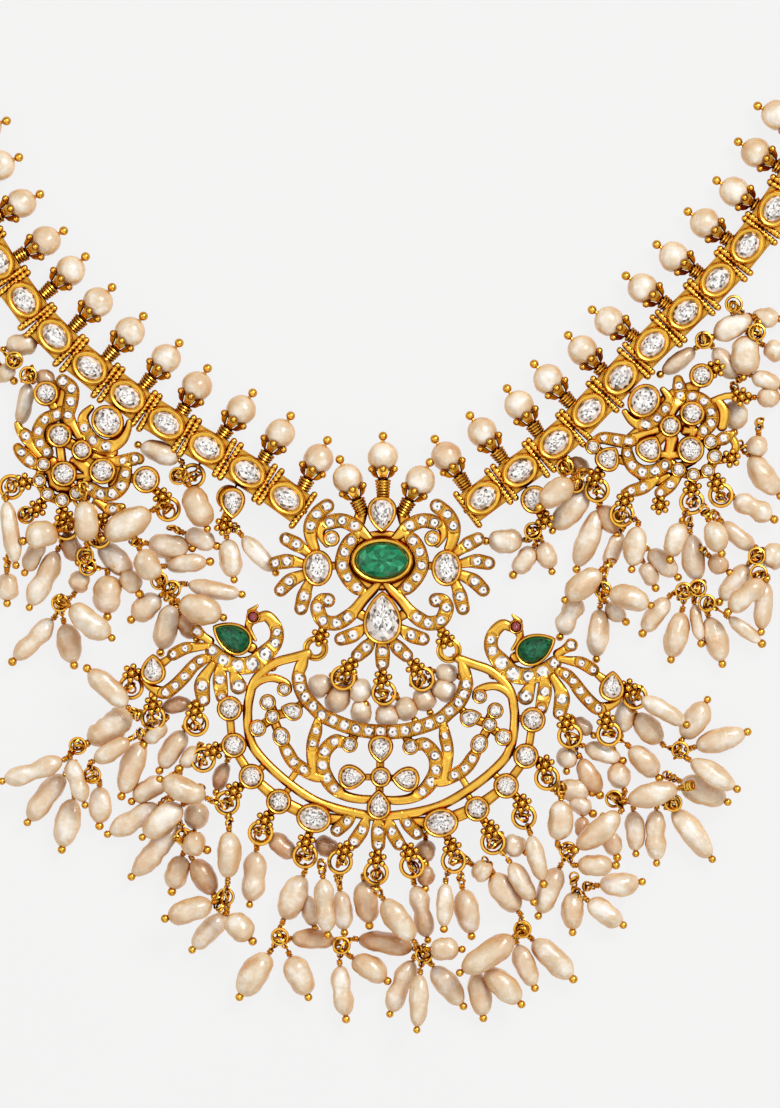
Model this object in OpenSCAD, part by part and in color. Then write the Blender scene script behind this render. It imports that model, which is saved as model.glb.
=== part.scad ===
// Temple necklace laid flat on a table, all sizes in millimetres.
// +Z is up, +Y runs from the pendant up to the clasp, X is left to right.
// The origin is on the table under the middle of the green oval stone.

/* [Drawing] */
// Squares of the working drawing to one millimetre
grid = 8; // [6:0.5:10]

/* [Band] */
// Length of one link along the band
link_l = 5.3; // [5:0.05:5.5]
// Width of a link between its long sides
link_w = 4.2; // [3.6:0.1:5]
// Height of the link body
link_h = 3.0; // [2.6:0.1:3.4]
// Step from link to link in the left arm
left_step = 5.92; // [5.7:0.01:6.4]
// Step from link to link in the right arm
right_step = 5.73; // [5.7:0.01:6.4]
// Length of the oval stone of a link
band_stone_l = 3.75; // [3.2:0.05:4]
// Width of the oval stone of a link
band_stone_w = 2.9; // [2.4:0.05:3.2]
// Height of the string above the table
string_z = 1.3; // [1:0.1:1.5]

/* [Posts] */
// Diameter of the round pearl on a post
spike_d = 4.0; // [3.4:0.1:4.4]
// Height of the post above the table
post_z = 2.05; // [1.9:0.05:2.2]
// Distance of the foot of a post from the middle of its link
post_off = 0.9; // [0.4:0.02:1.1]

/* [Frames] */
// Height of the underside of the soldered frames
frame_z = 3.75; // [3.6:0.05:4.2]
// Thickness of the frame plate
plate_t = 1.1; // [0.8:0.1:1.4]
// Height of the bezels above the plate
bezel_t = 1.0; // [0.8:0.05:1.3]
// Wall of a bezel
bezel_wall = 0.38; // [0.3:0.02:0.5]

/* [Hanging clusters] */
// Height of the rings in the clusters
ring_z = 3.35; // [3.2:0.05:3.4]
// Mean radius of a jump ring
jump_r = 1.35; // [1.2:0.05:1.5]
// Wire radius of a jump ring
jump_wire = 0.26; // [0.2:0.02:0.3]
// Mean radius of a wire coil that gathers pearls
coil_r = 0.95; // [0.8:0.05:1.1]
// Wire radius of a headpin
pin_r = 0.18; // [0.15:0.01:0.2]
// Step from the pearls on the table up to the next layer
layer_step = 3.75; // [3.7:0.02:4]

/* [Back] */
// Distance from the green stone to the clasp
clasp_y = 150; // [140:1:165]
// Thickness of the chain round the back
chain_d = 1.9; // [1.5:0.1:2.4]

/* [Hidden] */
gap = 0.15;
top_z = frame_z + plate_t;
stone_z = top_z + 0.12;
hole_r = pin_r + 0.12;

gold = [0.86, 0.62, 0.2];
clear = [0.92, 0.92, 0.95];
green = [0.03, 0.36, 0.2];
red = [0.45, 0.05, 0.12];
cream = [0.94, 0.86, 0.74];

// Heading of each link from the centre outwards, degrees above the level line
left_heading = [35.8, 32.2, 29.9, 32.2, 36.2, 39, 45.3, 53.8, 58.1, 60.8, 65.3, 71.4];
right_heading = [36.8, 35.9, 40.7, 46.4, 47, 44.8, 43.9, 46.7, 51.1, 55.6, 58.6, 61.4];
left_start = [-9.52, 5.98];
right_start = [10.36, 6.06];

// ---- Drawing, smoothing and sweep helpers

function at(x, y) = [(x - 382) / grid, (560.2 - y) / grid];
function unit(v) = v / norm(v);
function cr(a, b, c, d, t) = 0.5 * (2 * b + (c - a) * t + (2 * a - 5 * b + 4 * c - d) * t * t
    + (3 * b - a - 3 * c + d) * t * t * t);
function smooth(r, k) = concat(
    [for (i = [0 : len(r) - 2]) for (j = [0 : k - 1])
        cr(r[max(i - 1, 0)], r[i], r[i + 1], r[min(i + 2, len(r) - 1)], j / k)],
    [r[len(r) - 1]]);

// Wearer's side step of a joint, summed from the centre
function left_joint(k) = k == 0 ? left_start
    : left_joint(k - 1) + left_step * [-cos(left_heading[k - 1]), sin(left_heading[k - 1])];
function right_joint(k) = k == 0 ? right_start
    : right_joint(k - 1) + right_step * [cos(right_heading[k - 1]), sin(right_heading[k - 1])];
function left_mid(i) = (left_joint(i) + left_joint(i + 1)) / 2;
function right_mid(i) = (right_joint(i) + right_joint(i + 1)) / 2;

// Outline of a stone, kind 0 oval or round, kind 1 pear with its point at +Y
function outline(kind, w, h, n) = [for (i = [0 : n - 1]) let (t = 360 * i / n)
    kind == 0 ? [w / 2 * cos(t), h / 2 * sin(t)]
        : [-w / 2 * sin(t) * pow(abs(sin(t / 2)), 0.6) / 0.845, h / 2 * cos(t)]];

// Strip along a table of [x, y, width] rows of the drawing, round at both ends
module strip(rows, k = 2) {
    s = smooth(rows, k);
    m = len(s) - 1;
    p = [for (q = s) at(q[0], q[1])];
    n = [for (i = [0 : m]) let (d = unit(p[min(i + 1, m)] - p[max(i - 1, 0)])) [-d[1], d[0]]];
    r = [for (q = s) q[2] / 2 / grid];
    for (i = [0 : m - 1])
        polygon([p[i] + n[i] * r[i], p[i] - n[i] * r[i], p[i + 1] - n[i + 1] * r[i + 1],
            p[i + 1] + n[i + 1] * r[i + 1]]);
    for (i = [0, m]) translate(p[i]) rotate(atan2(n[i][1], n[i][0])) circle(r = r[i], $fn = 8);
}

// Seat of a stone from a row [x, y, width, height, turn, kind]
module seat(b, grow = 0) {
    w = b[2] / grid + 2 * grow;
    translate(at(b[0], b[1])) rotate(b[4]) {
        if (b[5] == 0 && b[2] == b[3]) circle(d = w, $fn = 32);
        else polygon(outline(b[5], w, b[3] / grid + 2 * grow, 18));
    }
}

// Cut stone from the same row, flat table, crown, girdle and pavilion
module gem(b, z0, deep, low, high) {
    n = 12;
    w = b[2] / grid - 2 * bezel_wall - 2 * gap;
    h = b[3] / grid - 2 * bezel_wall - 2 * gap;
    g = outline(b[5], w, h, n);
    up = z0 + deep;
    pts = concat([for (p = g) [p[0] * 0.6, p[1] * 0.6, up + high]],
        [for (p = g) [p[0], p[1], up + low]],
        [for (p = g) [p[0], p[1], up]],
        [[0, 0, z0]]);
    top = [[for (i = [n - 1 : -1 : 0]) i]];
    side = [for (r = [0, 1]) for (i = [0 : n - 1])
        [r * n + i, r * n + (i + 1) % n, (r + 1) * n + (i + 1) % n, (r + 1) * n + i]];
    foot = [for (i = [0 : n - 1]) [2 * n + i, 2 * n + (i + 1) % n, 3 * n]];
    translate(concat(at(b[0], b[1]), [0])) rotate(b[4])
        polyhedron(pts, concat(top, side, foot));
}

module rod(a, b, r) {
    d = b - a;
    translate(a) rotate([0, acos(d[2] / norm(d)), atan2(d[1], d[0])])
        cylinder(h = norm(d), r = r, $fn = 8);
}

module ring(c, z, r, wire) {
    translate([c[0], c[1], z]) rotate_extrude($fn = 32)
        translate([r, 0]) circle(r = wire, $fn = 16);
}

// Upright eye at e that holds a ring wire, u points along the ring's radius
module eye(e, u, z) {
    translate([e[0], e[1], z]) rotate([0, 0, atan2(u[1], u[0])]) rotate([90, 0, 0])
        rotate_extrude($fn = 24) translate([0.58, 0]) circle(r = 0.15, $fn = 16);
}

// Eye under a frame with a stem, for the ring at c hung from the flower at f
module hanger(c, f, z = ring_z) {
    u = unit(c - f);
    e = c - u * jump_r;
    eye(e, u, z);
    translate([e[0], e[1], z + 0.5]) cylinder(h = frame_z - z, r = 0.22, $fn = 16);
    translate([f[0], f[1], top_z - 0.1]) sphere(r = 0.5, $fn = 20);
}

module flower_plan(f, r = 0.92) {
    translate(f) circle(r = r, $fn = 12);
}

// ---- Soldered head piece round the green oval

// Strips of the left half, rows of x, y, width
head_arc = [[327, 506, 13], [316.5, 514.4, 13], [310.8, 526, 13], [311, 538, 12], [315, 549, 9]];
head_scroll = [[327, 545, 5], [321, 536, 7], [322, 528, 9], [329.6, 522.5, 13], [342, 520.7, 13],
    [354.5, 525.7, 13], [362, 532, 12], [369, 538.5, 8]];
head_collar = [[358, 534, 8], [351, 540.8, 13], [344.3, 552.3, 13], [342.4, 565.5, 13],
    [347.7, 577.6, 13], [357, 587.5, 13], [364, 592, 8]];
head_lobe = [[374, 589, 8], [364, 599, 10], [355, 610, 11], [347.1, 617.4, 13], [336.2, 623.1, 13],
    [323.2, 620.6, 13], [317.5, 607.8, 13], [321, 600, 13], [328, 600.2, 13]];
head_petals = [
    [[309, 554, 8], [303, 549, 10], [296.4, 544.3, 13], [286, 539, 12]],
    [[304, 564, 8], [296, 562, 10], [286.9, 561.3, 13], [275.4, 563.2, 12]],
    [[306, 574, 9], [298, 577, 11], [289.4, 581.4, 13], [280.8, 590, 12]],
    [[309, 583, 9], [306, 590, 12], [304.1, 596.3, 13], [301, 608.5, 12]],
    [[364, 628, 8], [352.9, 635, 13], [341, 639, 12]],
    [[372, 640, 8], [366.3, 647.4, 13], [357.5, 655.5, 12]]];
head_bracket = [[362, 511, 9], [359, 522, 9]];
head_middle = [[382, 640, 9], [382.5, 651.2, 13], [382.5, 664, 12]];
head_top = [[383, 494, 9], [383, 502, 9]];
// Short strips that carry the granule flowers
head_ties = [[[382.5, 664, 6], [382.6, 679, 6]], [[357, 656, 5], [349, 667, 5]],
    [[325, 624, 7], [320, 636, 6]]];

// Stone seats, rows of x, y, width, height, turn, kind
seat_emerald = [382, 560.5, 62, 45, 0, 0];
seat_crown = [382, 514.4, 29, 36, 180, 1];
seat_left_oval = [317.5, 568, 30, 36, 0, 0];
seat_right_oval = [446.5, 568, 30, 36, 0, 0];
seat_drop = [382.5, 617.8, 39, 53, 0, 1];
seat_head_round = [331.5, 538.4, 16, 16, 0, 0];

// Flower and ring pairs below the head piece, rows of flower x, y, ring x, y
head_hangs = [[349, 667, 343, 678], [382.6, 679, 384, 693], [415.2, 667.6, 422, 679]];
link_rings = [[320, 637, 315.5, 648.5], [445.2, 639.5, 449, 650.5]];

module head_half() {
    strip(head_arc);
    strip(head_scroll);
    strip(head_collar);
    strip(head_lobe);
    for (p = head_petals) strip(p);
    strip(head_bracket);
    strip(head_ties[1]);
    strip(head_ties[2]);
    seat(seat_left_oval);
    seat(seat_head_round);
    strip([[328, 566, 6], [345, 565, 6]], 1);
    strip([[355, 611, 8], [372, 621, 7]], 1);
}

module head_plan() {
    head_half();
    mirror([1, 0]) head_half();
    strip(head_middle);
    strip(head_top);
    strip(head_ties[0]);
    seat(seat_emerald);
    seat(seat_crown);
    seat(seat_drop);
    for (h = head_hangs) flower_plan(at(h[0], h[1]));
    for (h = link_rings) flower_plan(at(h[0], h[1]));
}

head_seats = [seat_emerald, seat_crown, seat_left_oval, seat_right_oval, seat_drop,
    seat_head_round, [432.5, 538.4, 16, 16, 0, 0]];

// Plate from one plan and a bezel round each seat
module casting(z, seats) {
    translate([0, 0, z]) linear_extrude(plate_t) offset(delta = 0.01) children();
    translate([0, 0, z + plate_t - 0.02]) for (b = seats) bezel(b, bezel_t + 0.02);
}

module bezel(b, h) {
    linear_extrude(h) difference() {
        seat(b);
        seat(b, -bezel_wall);
    }
}

// Revolved post, coil, petal cup, pin and ball, running along +Y from its root
post_rows = [[0, 1.4], [1, 1.4], [1, 3.55], [0.62, 3.7], [0.62, 3.85], [1.1, 4.15], [1.62, 4.75],
    [1.72, 5.15], [1.5, 4.92], [1, 4.54], [0.5, 4.35], [0.18, 4.3], [0.18, 8.5], [0.3, 8.52],
    [0.5, 8.75], [0.52, 8.95], [0.4, 9.25], [0.15, 9.44], [0, 9.46]];
pearl_out = 6.43;

module post() {
    rotate([-90, 0, 0]) rotate_extrude($fn = 24) polygon([for (p = post_rows) [p[0], p[1]]]);
}

module spike_pearl() {
    difference() {
        sphere(d = spike_d, $fn = 32);
        rotate([90, 0, 0]) cylinder(h = spike_d + 1, r = pin_r + 0.15, center = true, $fn = 16);
    }
}

// Crown posts, rows of pearl x, pearl y, heading of the post in degrees
crown_posts = [[383, 457, 90], [348, 478.7, 113], [420, 480.6, 61.3]];
crown_z = frame_z + 0.6;

module crown_place(c) {
    p = at(c[0], c[1]);
    translate([p[0], p[1], crown_z]) rotate([0, 0, c[2] - 90]) children();
}

module centre_motif() {
    color(gold) difference() {
        union() {
            casting(frame_z, head_seats) head_plan();
            linear_extrude(frame_z + 0.2) offset(delta = 0.01) seat(seat_emerald, -0.1);
            for (c = crown_posts) crown_place(c) translate([0, -pearl_out, 0]) post();
            for (h = head_hangs) hanger(at(h[2], h[3]), at(h[0], h[1]));
            for (h = link_rings) hanger(at(h[2], h[3]), at(h[0], h[1]));
            translate([left_start[0], left_start[1], 0]) rotate([0, 0, -left_heading[0]])
                translate([0.1, -0.8, 0.3]) cube([1.7, 1.6, frame_z]);
            translate([right_start[0], right_start[1], 0]) rotate([0, 0, right_heading[0]])
                translate([-1.8, -0.8, 0.3]) cube([1.7, 1.6, frame_z]);
        }
        translate([0, 0, 2]) linear_extrude(9) offset(delta = 0.01)
            seat(seat_emerald, -bezel_wall);
        translate([left_start[0], left_start[1], string_z]) rotate([0, 0, -left_heading[0]])
            rotate([0, 90, 0]) cylinder(h = 1.3, r = 0.45, $fn = 16);
        translate([right_start[0], right_start[1], string_z]) rotate([0, 0, right_heading[0] + 180])
            rotate([0, 90, 0]) cylinder(h = 1.3, r = 0.45, $fn = 16);
    }
}

module crown_pearls() {
    color(cream) for (c = crown_posts) crown_place(c) spike_pearl();
}

module emerald_oval() {
    color(green) gem(seat_emerald, 2.2, 3.2, 0.2, 0.95);
}

module crown_pear_stone() {
    color(clear) gem(seat_crown, stone_z, 0.5, 0.15, 0.75);
}

module left_oval_stone() {
    color(clear) gem(seat_left_oval, stone_z, 0.5, 0.15, 0.75);
}

module right_oval_stone() {
    color(clear) gem(seat_right_oval, stone_z, 0.5, 0.15, 0.75);
}

module drop_pear_stone() {
    color(clear) gem(seat_drop, stone_z, 0.5, 0.15, 0.85);
}

// ---- Crescent with peacocks, charted for its left half and mirrored on a tilted axis

tilt = -2.1;
tilt_at = at(381.2, 714.4);

module both_halves() {
    children();
    translate(tilt_at) rotate(tilt) mirror([1, 0]) rotate(-tilt) translate(-tilt_at) children();
}

rail = [[307.5, 653.5, 6], [292.4, 657.7, 6], [277, 662, 6], [263.7, 670.6, 6], [254, 682, 6],
    [249.4, 697.4, 6], [247.6, 712, 6], [249, 733.8, 6], [254, 748, 6], [266.6, 763.4, 6],
    [281, 776.8, 6], [294.3, 787.4, 6], [307.7, 796.6, 6], [321, 803.4, 6], [340.3, 809.6, 6],
    [360, 814, 6], [378.5, 817, 6]];
band_pave = [[306, 655, 6], [302, 664, 11], [299, 672, 13], [298.9, 678.4, 13], [300.8, 687.9, 13],
    [305, 696.9, 13], [313.2, 706.1, 13], [321.8, 714.7, 13], [332.7, 720.4, 13],
    [344.4, 725.2, 13], [355.9, 728.7, 13], [368.7, 731, 13], [381.1, 731.9, 13]];
inner_scroll = [[349.6, 744.4, 9], [341, 741.5, 11], [334.3, 741.5, 12], [324.7, 751.6, 13],
    [322.4, 765.4, 13], [326.6, 777.8, 13], [334.3, 788.4, 12], [346, 796, 9], [360, 799, 8],
    [373, 799, 7]];
leaf = [[318, 720, 7], [316.1, 731, 11], [312.7, 743.4, 11], [312, 757, 10], [313, 768, 8],
    [314, 776, 7]];
side_scroll = [[281.3, 738, 9], [284, 745, 10], [287.4, 752, 12], [293.7, 762, 12],
    [303.7, 769.6, 12], [314, 776, 10], [323, 778, 8]];
curl = [[251, 690, 5], [258, 682, 6], [268, 678, 6], [278, 679, 6], [287, 684, 6], [288, 690, 6]];
neck = [[259, 618, 8], [266, 616, 10], [273, 622, 11], [277, 632, 12], [275, 643, 13],
    [265, 654, 16], [252.5, 664, 16], [237.5, 665.5, 15], [223.2, 660.3, 15], [212.4, 650.6, 13]];
beak = [[250, 622, 7], [248.6, 629, 5], [255.3, 640, 2.4]];
crest = [[251, 612, 6], [257.3, 605.7, 2]];
feathers = [
    [[210, 641, 8], [203, 636, 8], [197, 631.4, 12]],
    [[208, 646, 6], [197, 647, 8], [185, 648.4, 11], [173, 654.5, 10]],
    [[208, 658, 8], [200, 661, 10], [192.5, 667, 11], [184.5, 676.4, 12], [175.5, 685.4, 12],
        [165.2, 692.5, 12], [156, 690, 9], [147, 684, 6], [144, 676, 4]],
    [[213, 664, 7], [205, 676, 11], [202, 686, 14], [203.5, 700, 12]],
    [[221, 666, 9], [220, 680, 13], [222, 697, 11]],
    [[232, 668, 6], [238.5, 686, 15]]];
foot_petals = [
    [[354, 812, 7], [347, 821, 12], [337, 830, 12]],
    [[367, 817, 7], [362, 830, 12], [354, 842, 12]]];
foot_middle = [[378.5, 818, 8], [378.3, 831, 13], [378.3, 845, 12]];
// Plain ties between the parts, rows of x, y, width
ties = [
    [[229.6, 708.6, 6], [233.9, 745.2, 6], [251.4, 776.4, 6], [278.8, 801.4, 6], [313.8, 818, 6],
        [345, 821, 6]],
    [[229.6, 708.6, 5], [249, 708, 5]],
    [[233.9, 745.2, 5], [252, 742, 5]],
    [[251.4, 776.4, 5], [266, 764, 5]],
    [[278.8, 801.4, 5], [291, 786, 5]],
    [[313.8, 818, 5], [319, 803, 5]],
    [[299, 768, 5], [289, 782, 5]],
    [[260, 655, 8], [272, 666, 8]],
    [[238, 686, 4], [252, 690, 4]],
    [[269, 702, 7], [273, 716, 7], [257.7, 728, 7], [250, 731, 6]],
    [[272, 716, 7], [281, 737, 7]],
    [[272, 716, 7], [291, 711, 7], [306, 700, 5]],
    [[231.8, 637, 12], [252, 648, 8]],
    [[153.2, 669.3, 9], [174, 655, 4]],
    [[352, 777, 5], [381, 777, 5]],
    [[322, 765, 6], [313, 766, 6]],
    [[350, 744, 7], [356, 731, 7]]];
tie_middle = [[380.6, 732, 6], [380, 777, 6], [378.6, 816, 6]];

// Seats of the left half and of the middle, rows of x, y, width, height, turn, kind
seat_peacock = [231.8, 637.1, 31, 43, 59.5, 1];
seat_eye = [253.3, 617, 14, 14, 0, 0];
seat_tail = [153.2, 669.3, 25, 30, 0, 1];
half_seats = [seat_peacock, seat_eye, seat_tail,
    [229.6, 708.6, 25, 25, 0, 0], [233.9, 745.2, 25, 25, 0, 0], [251.4, 776.4, 25, 25, 0, 0],
    [278.8, 801.4, 25, 25, 0, 0], [313.8, 818, 35, 29, -12, 0],
    [349.6, 744.4, 16, 16, 0, 0], [267.7, 702.3, 16, 16, 0, 0], [291.6, 710.9, 18, 22, 70, 1],
    [272.5, 716.6, 15, 15, 0, 0], [257.7, 728.1, 17, 17, 0, 0], [281.3, 736.7, 17, 20, 20, 0],
    [284.1, 689.3, 14, 14, 0, 0], [352.4, 776.9, 25, 28, -90, 1]];
middle_seats = [[380.6, 749.1, 25, 28, 180, 1], [380.8, 776.9, 20.5, 20.5, 0, 0],
    [378.7, 804.6, 24, 30, 0, 1]];

// Hanging points of the rim, rows of flower x, y, ring x, y
left_hangs = [[132, 673, 131, 687], [153, 705, 153, 718], [195, 711, 196, 724],
    [214, 751, 203, 760], [234, 791, 227, 803], [265, 820, 260.5, 833]];
base_hangs = [[306, 842, 305, 856], [345, 850, 340, 862], [377, 859, 376, 873],
    [409.4, 852, 412, 866], [452, 847, 453.6, 861]];
right_hangs = [[490, 829, 493, 842.4], [522, 803, 524, 817], [545, 764, 547, 778],
    [566, 723, 570, 736], [606, 720, 609, 734], [628, 688, 635, 697]];
// Strips that carry the hanging flowers, rows of x, y, width
hang_ties = [
    [[148, 676, 5], [133, 673, 6]], [[153, 694, 6], [153, 705, 6]],
    [[203, 700, 6], [195, 711, 6]], [[225, 745, 6], [214, 751, 6]],
    [[245, 783, 6], [234, 791, 6]], [[272, 811, 6], [265, 820, 6]],
    [[311, 829, 6], [306, 842, 6]], [[354, 842, 6], [345, 850, 6]],
    [[378.3, 846, 6], [377, 859, 6]], [[401, 843, 6], [409.4, 852, 6]],
    [[446, 834, 6], [452, 847, 6]], [[483, 819, 6], [490, 829, 6]],
    [[513, 793, 6], [522, 803, 6]], [[535, 758, 6], [545, 764, 6]],
    [[560, 711, 6], [566, 723, 6]], [[601, 706, 6], [606, 720, 6]],
    [[618, 690, 6], [628, 688, 6]]];

module crescent_half() {
    strip(rail, 1);
    strip(band_pave, 1);
    strip(inner_scroll);
    strip(leaf, 1);
    strip(side_scroll, 2);
    strip(curl);
    strip(neck);
    strip(beak, 1);
    strip(crest, 1);
    for (f = feathers) strip(f, 2);
    for (p = foot_petals) strip(p, 2);
    for (t = ties) strip(t, 1);
    for (b = half_seats) seat(b);
}

module crescent_plan() {
    both_halves() crescent_half();
    strip(foot_middle, 2);
    strip(tie_middle, 1);
    for (b = middle_seats) seat(b);
    for (t = hang_ties) strip(t, 1);
    for (h = concat(left_hangs, base_hangs, right_hangs)) flower_plan(at(h[0], h[1]));
}

module crescent_frame() {
    color(gold) {
        casting(frame_z, middle_seats) crescent_plan();
        for (b = half_seats) translate([0, 0, top_z - 0.02]) {
            bezel(b, bezel_t + 0.02);
            mirrored() bezel(b, bezel_t + 0.02);
        }
        for (h = concat(left_hangs, base_hangs, right_hangs))
            hanger(at(h[2], h[3]), at(h[0], h[1]));
        hanger(at(315.5, 648.5), at(306, 660));
        hanger(at(449, 650.5), at(459, 661));
    }
}

module left_peacock_emerald() {
    color(green) gem(seat_peacock, stone_z, 0.5, 0.15, 0.85);
}

module right_peacock_emerald() {
    color(green) mirrored() gem(seat_peacock, stone_z, 0.5, 0.15, 0.85);
}

module mirrored() {
    translate(concat(tilt_at, [0])) rotate([0, 0, tilt]) mirror([1, 0, 0]) rotate([0, 0, -tilt])
        translate(-concat(tilt_at, [0])) children();
}

module left_peacock_eye() {
    color(red) gem(seat_eye, stone_z, 0.45, 0.1, 0.55);
}

module right_peacock_eye() {
    color(red) mirrored() gem(seat_eye, stone_z, 0.45, 0.1, 0.55);
}

module left_tail_stone() {
    color(clear) gem(seat_tail, stone_z, 0.5, 0.15, 0.8);
}

module right_tail_stone() {
    color(clear) mirrored() gem(seat_tail, stone_z, 0.5, 0.15, 0.8);
}

module rim_stones() {
    color(clear) for (i = [3 : 7]) {
        gem(half_seats[i], stone_z, 0.5, 0.15, 0.8);
        mirrored() gem(half_seats[i], stone_z, 0.5, 0.15, 0.8);
    }
}

module scroll_stones() {
    color(clear) {
        for (b = middle_seats) gem(b, stone_z, 0.5, 0.15, 0.8);
        gem(half_seats[15], stone_z, 0.5, 0.15, 0.8);
        mirrored() gem(half_seats[15], stone_z, 0.5, 0.15, 0.8);
    }
}

// ---- Side clusters below the band

left_strips = [
    [[91, 408, 6], [84, 416, 9], [84.5, 428, 12], [93, 440.5, 13], [106, 446.5, 13], [120, 441, 12],
        [127, 430, 8], [129, 422, 5]],
    [[63, 381.5, 13], [71.5, 389, 13], [71, 402, 13], [68, 415, 12], [73, 427, 10], [80, 437, 8]],
    [[60, 411, 9], [56.8, 415, 12], [44.9, 420, 12], [38.6, 431, 12], [40, 443.3, 12],
        [47, 452.3, 12]],
    [[17, 424, 5], [20, 430, 8], [26, 436, 12], [33, 448, 8], [40, 456, 6]],
    [[18, 448, 9], [21.5, 452.5, 12], [30, 460.5, 13], [38, 466, 9]],
    [[94, 456, 7], [108, 461, 8], [122.7, 460.8, 11], [135.3, 458.7, 12], [139, 459, 10]],
    [[127, 466, 9], [125.2, 474, 12], [121.5, 486, 13], [112, 493.8, 13], [100.3, 493.8, 13],
        [89, 487.8, 12], [80, 488, 8]],
    [[96, 501, 6], [105, 507, 9], [113, 509, 12], [122, 507, 7]],
    [[60, 446, 7], [62, 462, 7]],
    [[70, 477, 6], [92, 477, 6]],
    [[43.5, 464.6, 7], [39.4, 480.7, 7], [47.5, 494.5, 7], [62.4, 500.2, 7], [76.7, 493.3, 7],
        [84, 489, 7]],
    [[126, 478, 7], [140, 479, 7]], [[100, 495, 6], [101, 505, 6]],
    [[46, 394, 7], [57, 412, 7]], [[46, 394, 8], [62, 383, 8]], [[45, 452, 7], [44, 466, 7]],
    [[82, 450, 9], [97, 465, 9]], [[82, 450, 9], [64, 440, 9]], [[82, 450, 8], [92, 438, 8]],
    [[47, 470, 8], [60, 474, 8]],
    [[40, 481, 6], [27, 482.4, 6]], [[46, 496, 6], [37.7, 507, 6]], [[62.4, 501, 6], [64, 514, 6]],
    [[111, 510, 6], [99, 522, 6]], [[152, 487, 6], [162.3, 496, 6]]];
left_seats = [[107.7, 421.6, 31, 34, 40, 0], [59.5, 435.4, 25, 25, 0, 0], [64, 473.8, 26, 26, 0, 0],
    [102.6, 471, 27, 26, 20, 0], [46.3, 393.5, 25, 25, 0, 0], [82, 450.3, 21, 21, 0, 0],
    [146.2, 479.6, 27, 27, 0, 0], [43.5, 464.6, 14.5, 14.5, 0, 0], [39.4, 480.7, 14, 14, 0, 0],
    [47.5, 494.5, 14, 14, 0, 0], [62.4, 500.2, 15, 15, 0, 0], [76.7, 493.3, 15, 15, 0, 0]];
left_side_hangs = [[23.4, 482.4, 11, 487], [78, 490, 84.5, 497],
    [98.7, 523, 99, 536], [162.5, 497, 168, 509], [64, 516, 66, 528]];

right_strips = [
    [[663, 390, 6], [669, 399, 9], [665, 409, 12], [657, 418.5, 12], [645.5, 424.5, 13],
        [633, 421, 9], [625, 412, 6]],
    [[678, 380, 9], [679, 386, 12], [680.5, 396, 12], [674, 409, 9], [669, 419, 8]],
    [[683, 398, 8], [692, 396.8, 12], [703.8, 401.5, 12], [711, 411.8, 12], [711, 423, 12],
        [704, 431, 12], [700, 438, 9]],
    [[597, 440, 9], [603.5, 438, 11], [616, 440, 12], [628.4, 441.6, 12], [640, 436, 9],
        [657, 430, 7]],
    [[627.3, 448, 9], [627.3, 454, 11], [632, 465.3, 12], [642, 472, 13], [654.8, 471.2, 13],
        [665, 465, 12], [673, 464, 8]],
    [[711, 448, 7], [716, 442, 8], [723.5, 438.5, 12], [732, 434, 7]],
    [[625, 493, 8], [631.3, 491, 11], [643.2, 487.4, 12], [656, 479, 8]],
    [[660.5, 493, 11], [670, 484.8, 12], [679, 474, 8]],
    [[692, 424, 7], [693, 440, 7]], [[659, 455, 7], [680, 455, 7]],
    [[692.8, 460, 7], [678.3, 469.8, 7], [693.2, 475, 7], [707.6, 471, 7], [714.5, 456.6, 7],
        [710.5, 441.7, 7], [703, 436, 7]],
    [[592.8, 446.8, 7], [604, 455, 7]], [[614, 458, 7], [630, 462, 7]],
    [[646, 474, 8], [644, 486, 8]],
    [[700, 378, 7], [693, 393, 7]], [[670.3, 426, 9], [652, 446, 9]],
    [[670.3, 426, 9], [689, 416, 9]], [[670.3, 426, 9], [660, 416, 9]],
    [[707, 371, 6], [715.6, 368.8, 6]], [[730, 436, 6], [736, 446, 6], [731, 458.3, 6]],
    [[713, 461, 6], [731, 458.3, 6]], [[711, 474, 6], [716.2, 482.4, 6]],
    [[693, 478, 6], [692, 488, 6]], [[660, 494, 6], [660, 505, 6]],
    [[629, 493, 6], [624.4, 501.4, 6]], [[602, 465, 6], [595.7, 476.7, 6]],
    [[707, 404, 6], [726, 396, 5], [741.5, 397, 6]]];
right_seats = [[643.9, 401, 31, 35, -38, 0], [692, 413.5, 25, 25, 0, 0],
    [690.4, 449.7, 27, 28, 0, 0], [649.6, 448.6, 27, 27, -30, 1], [701.3, 375.7, 24, 24, 0, 0],
    [670.3, 426.2, 22, 22, 0, 0], [608.3, 458.3, 25, 26, -35, 1], [592.8, 446.8, 15, 15, 0, 0],
    [678.3, 469.8, 15, 15, 0, 0], [693.2, 475, 14, 14, 0, 0], [707.6, 471, 14, 14, 0, 0],
    [714.5, 456.6, 15, 15, 0, 0], [710.5, 441.7, 15, 15, 0, 0]];
right_side_hangs = [[595.7, 476.7, 597, 490], [624.4, 501.4, 622, 514.5],
    [692, 488.2, 692, 502], [716.2, 482.4, 721, 495]];

// Rings on the outer side of the band, rows of arm, link, shift towards the clasp
band_rings = [[0, 1, 0.3], [0, 2, -0.2], [0, 4, 0], [1, 1, -0.6], [1, 2, -0.7], [1, 4, -0.5]];
band_ring_z = 1.3;
eye_at = link_w / 2 + 0.5;

function arm_dir(r) = r[0] == 0 ? [-cos(left_heading[r[1]]), sin(left_heading[r[1]])]
    : [cos(right_heading[r[1]]), sin(right_heading[r[1]])];
function arm_mid(r) = (r[0] == 0 ? left_mid(r[1]) : right_mid(r[1])) + arm_dir(r) * r[2];
function arm_out(r) = let (d = arm_dir(r)) r[0] == 0 ? [-d[1], d[0]] : [d[1], -d[0]];
function band_ring(r) = arm_mid(r) + arm_out(r) * (eye_at + jump_r);

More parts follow.
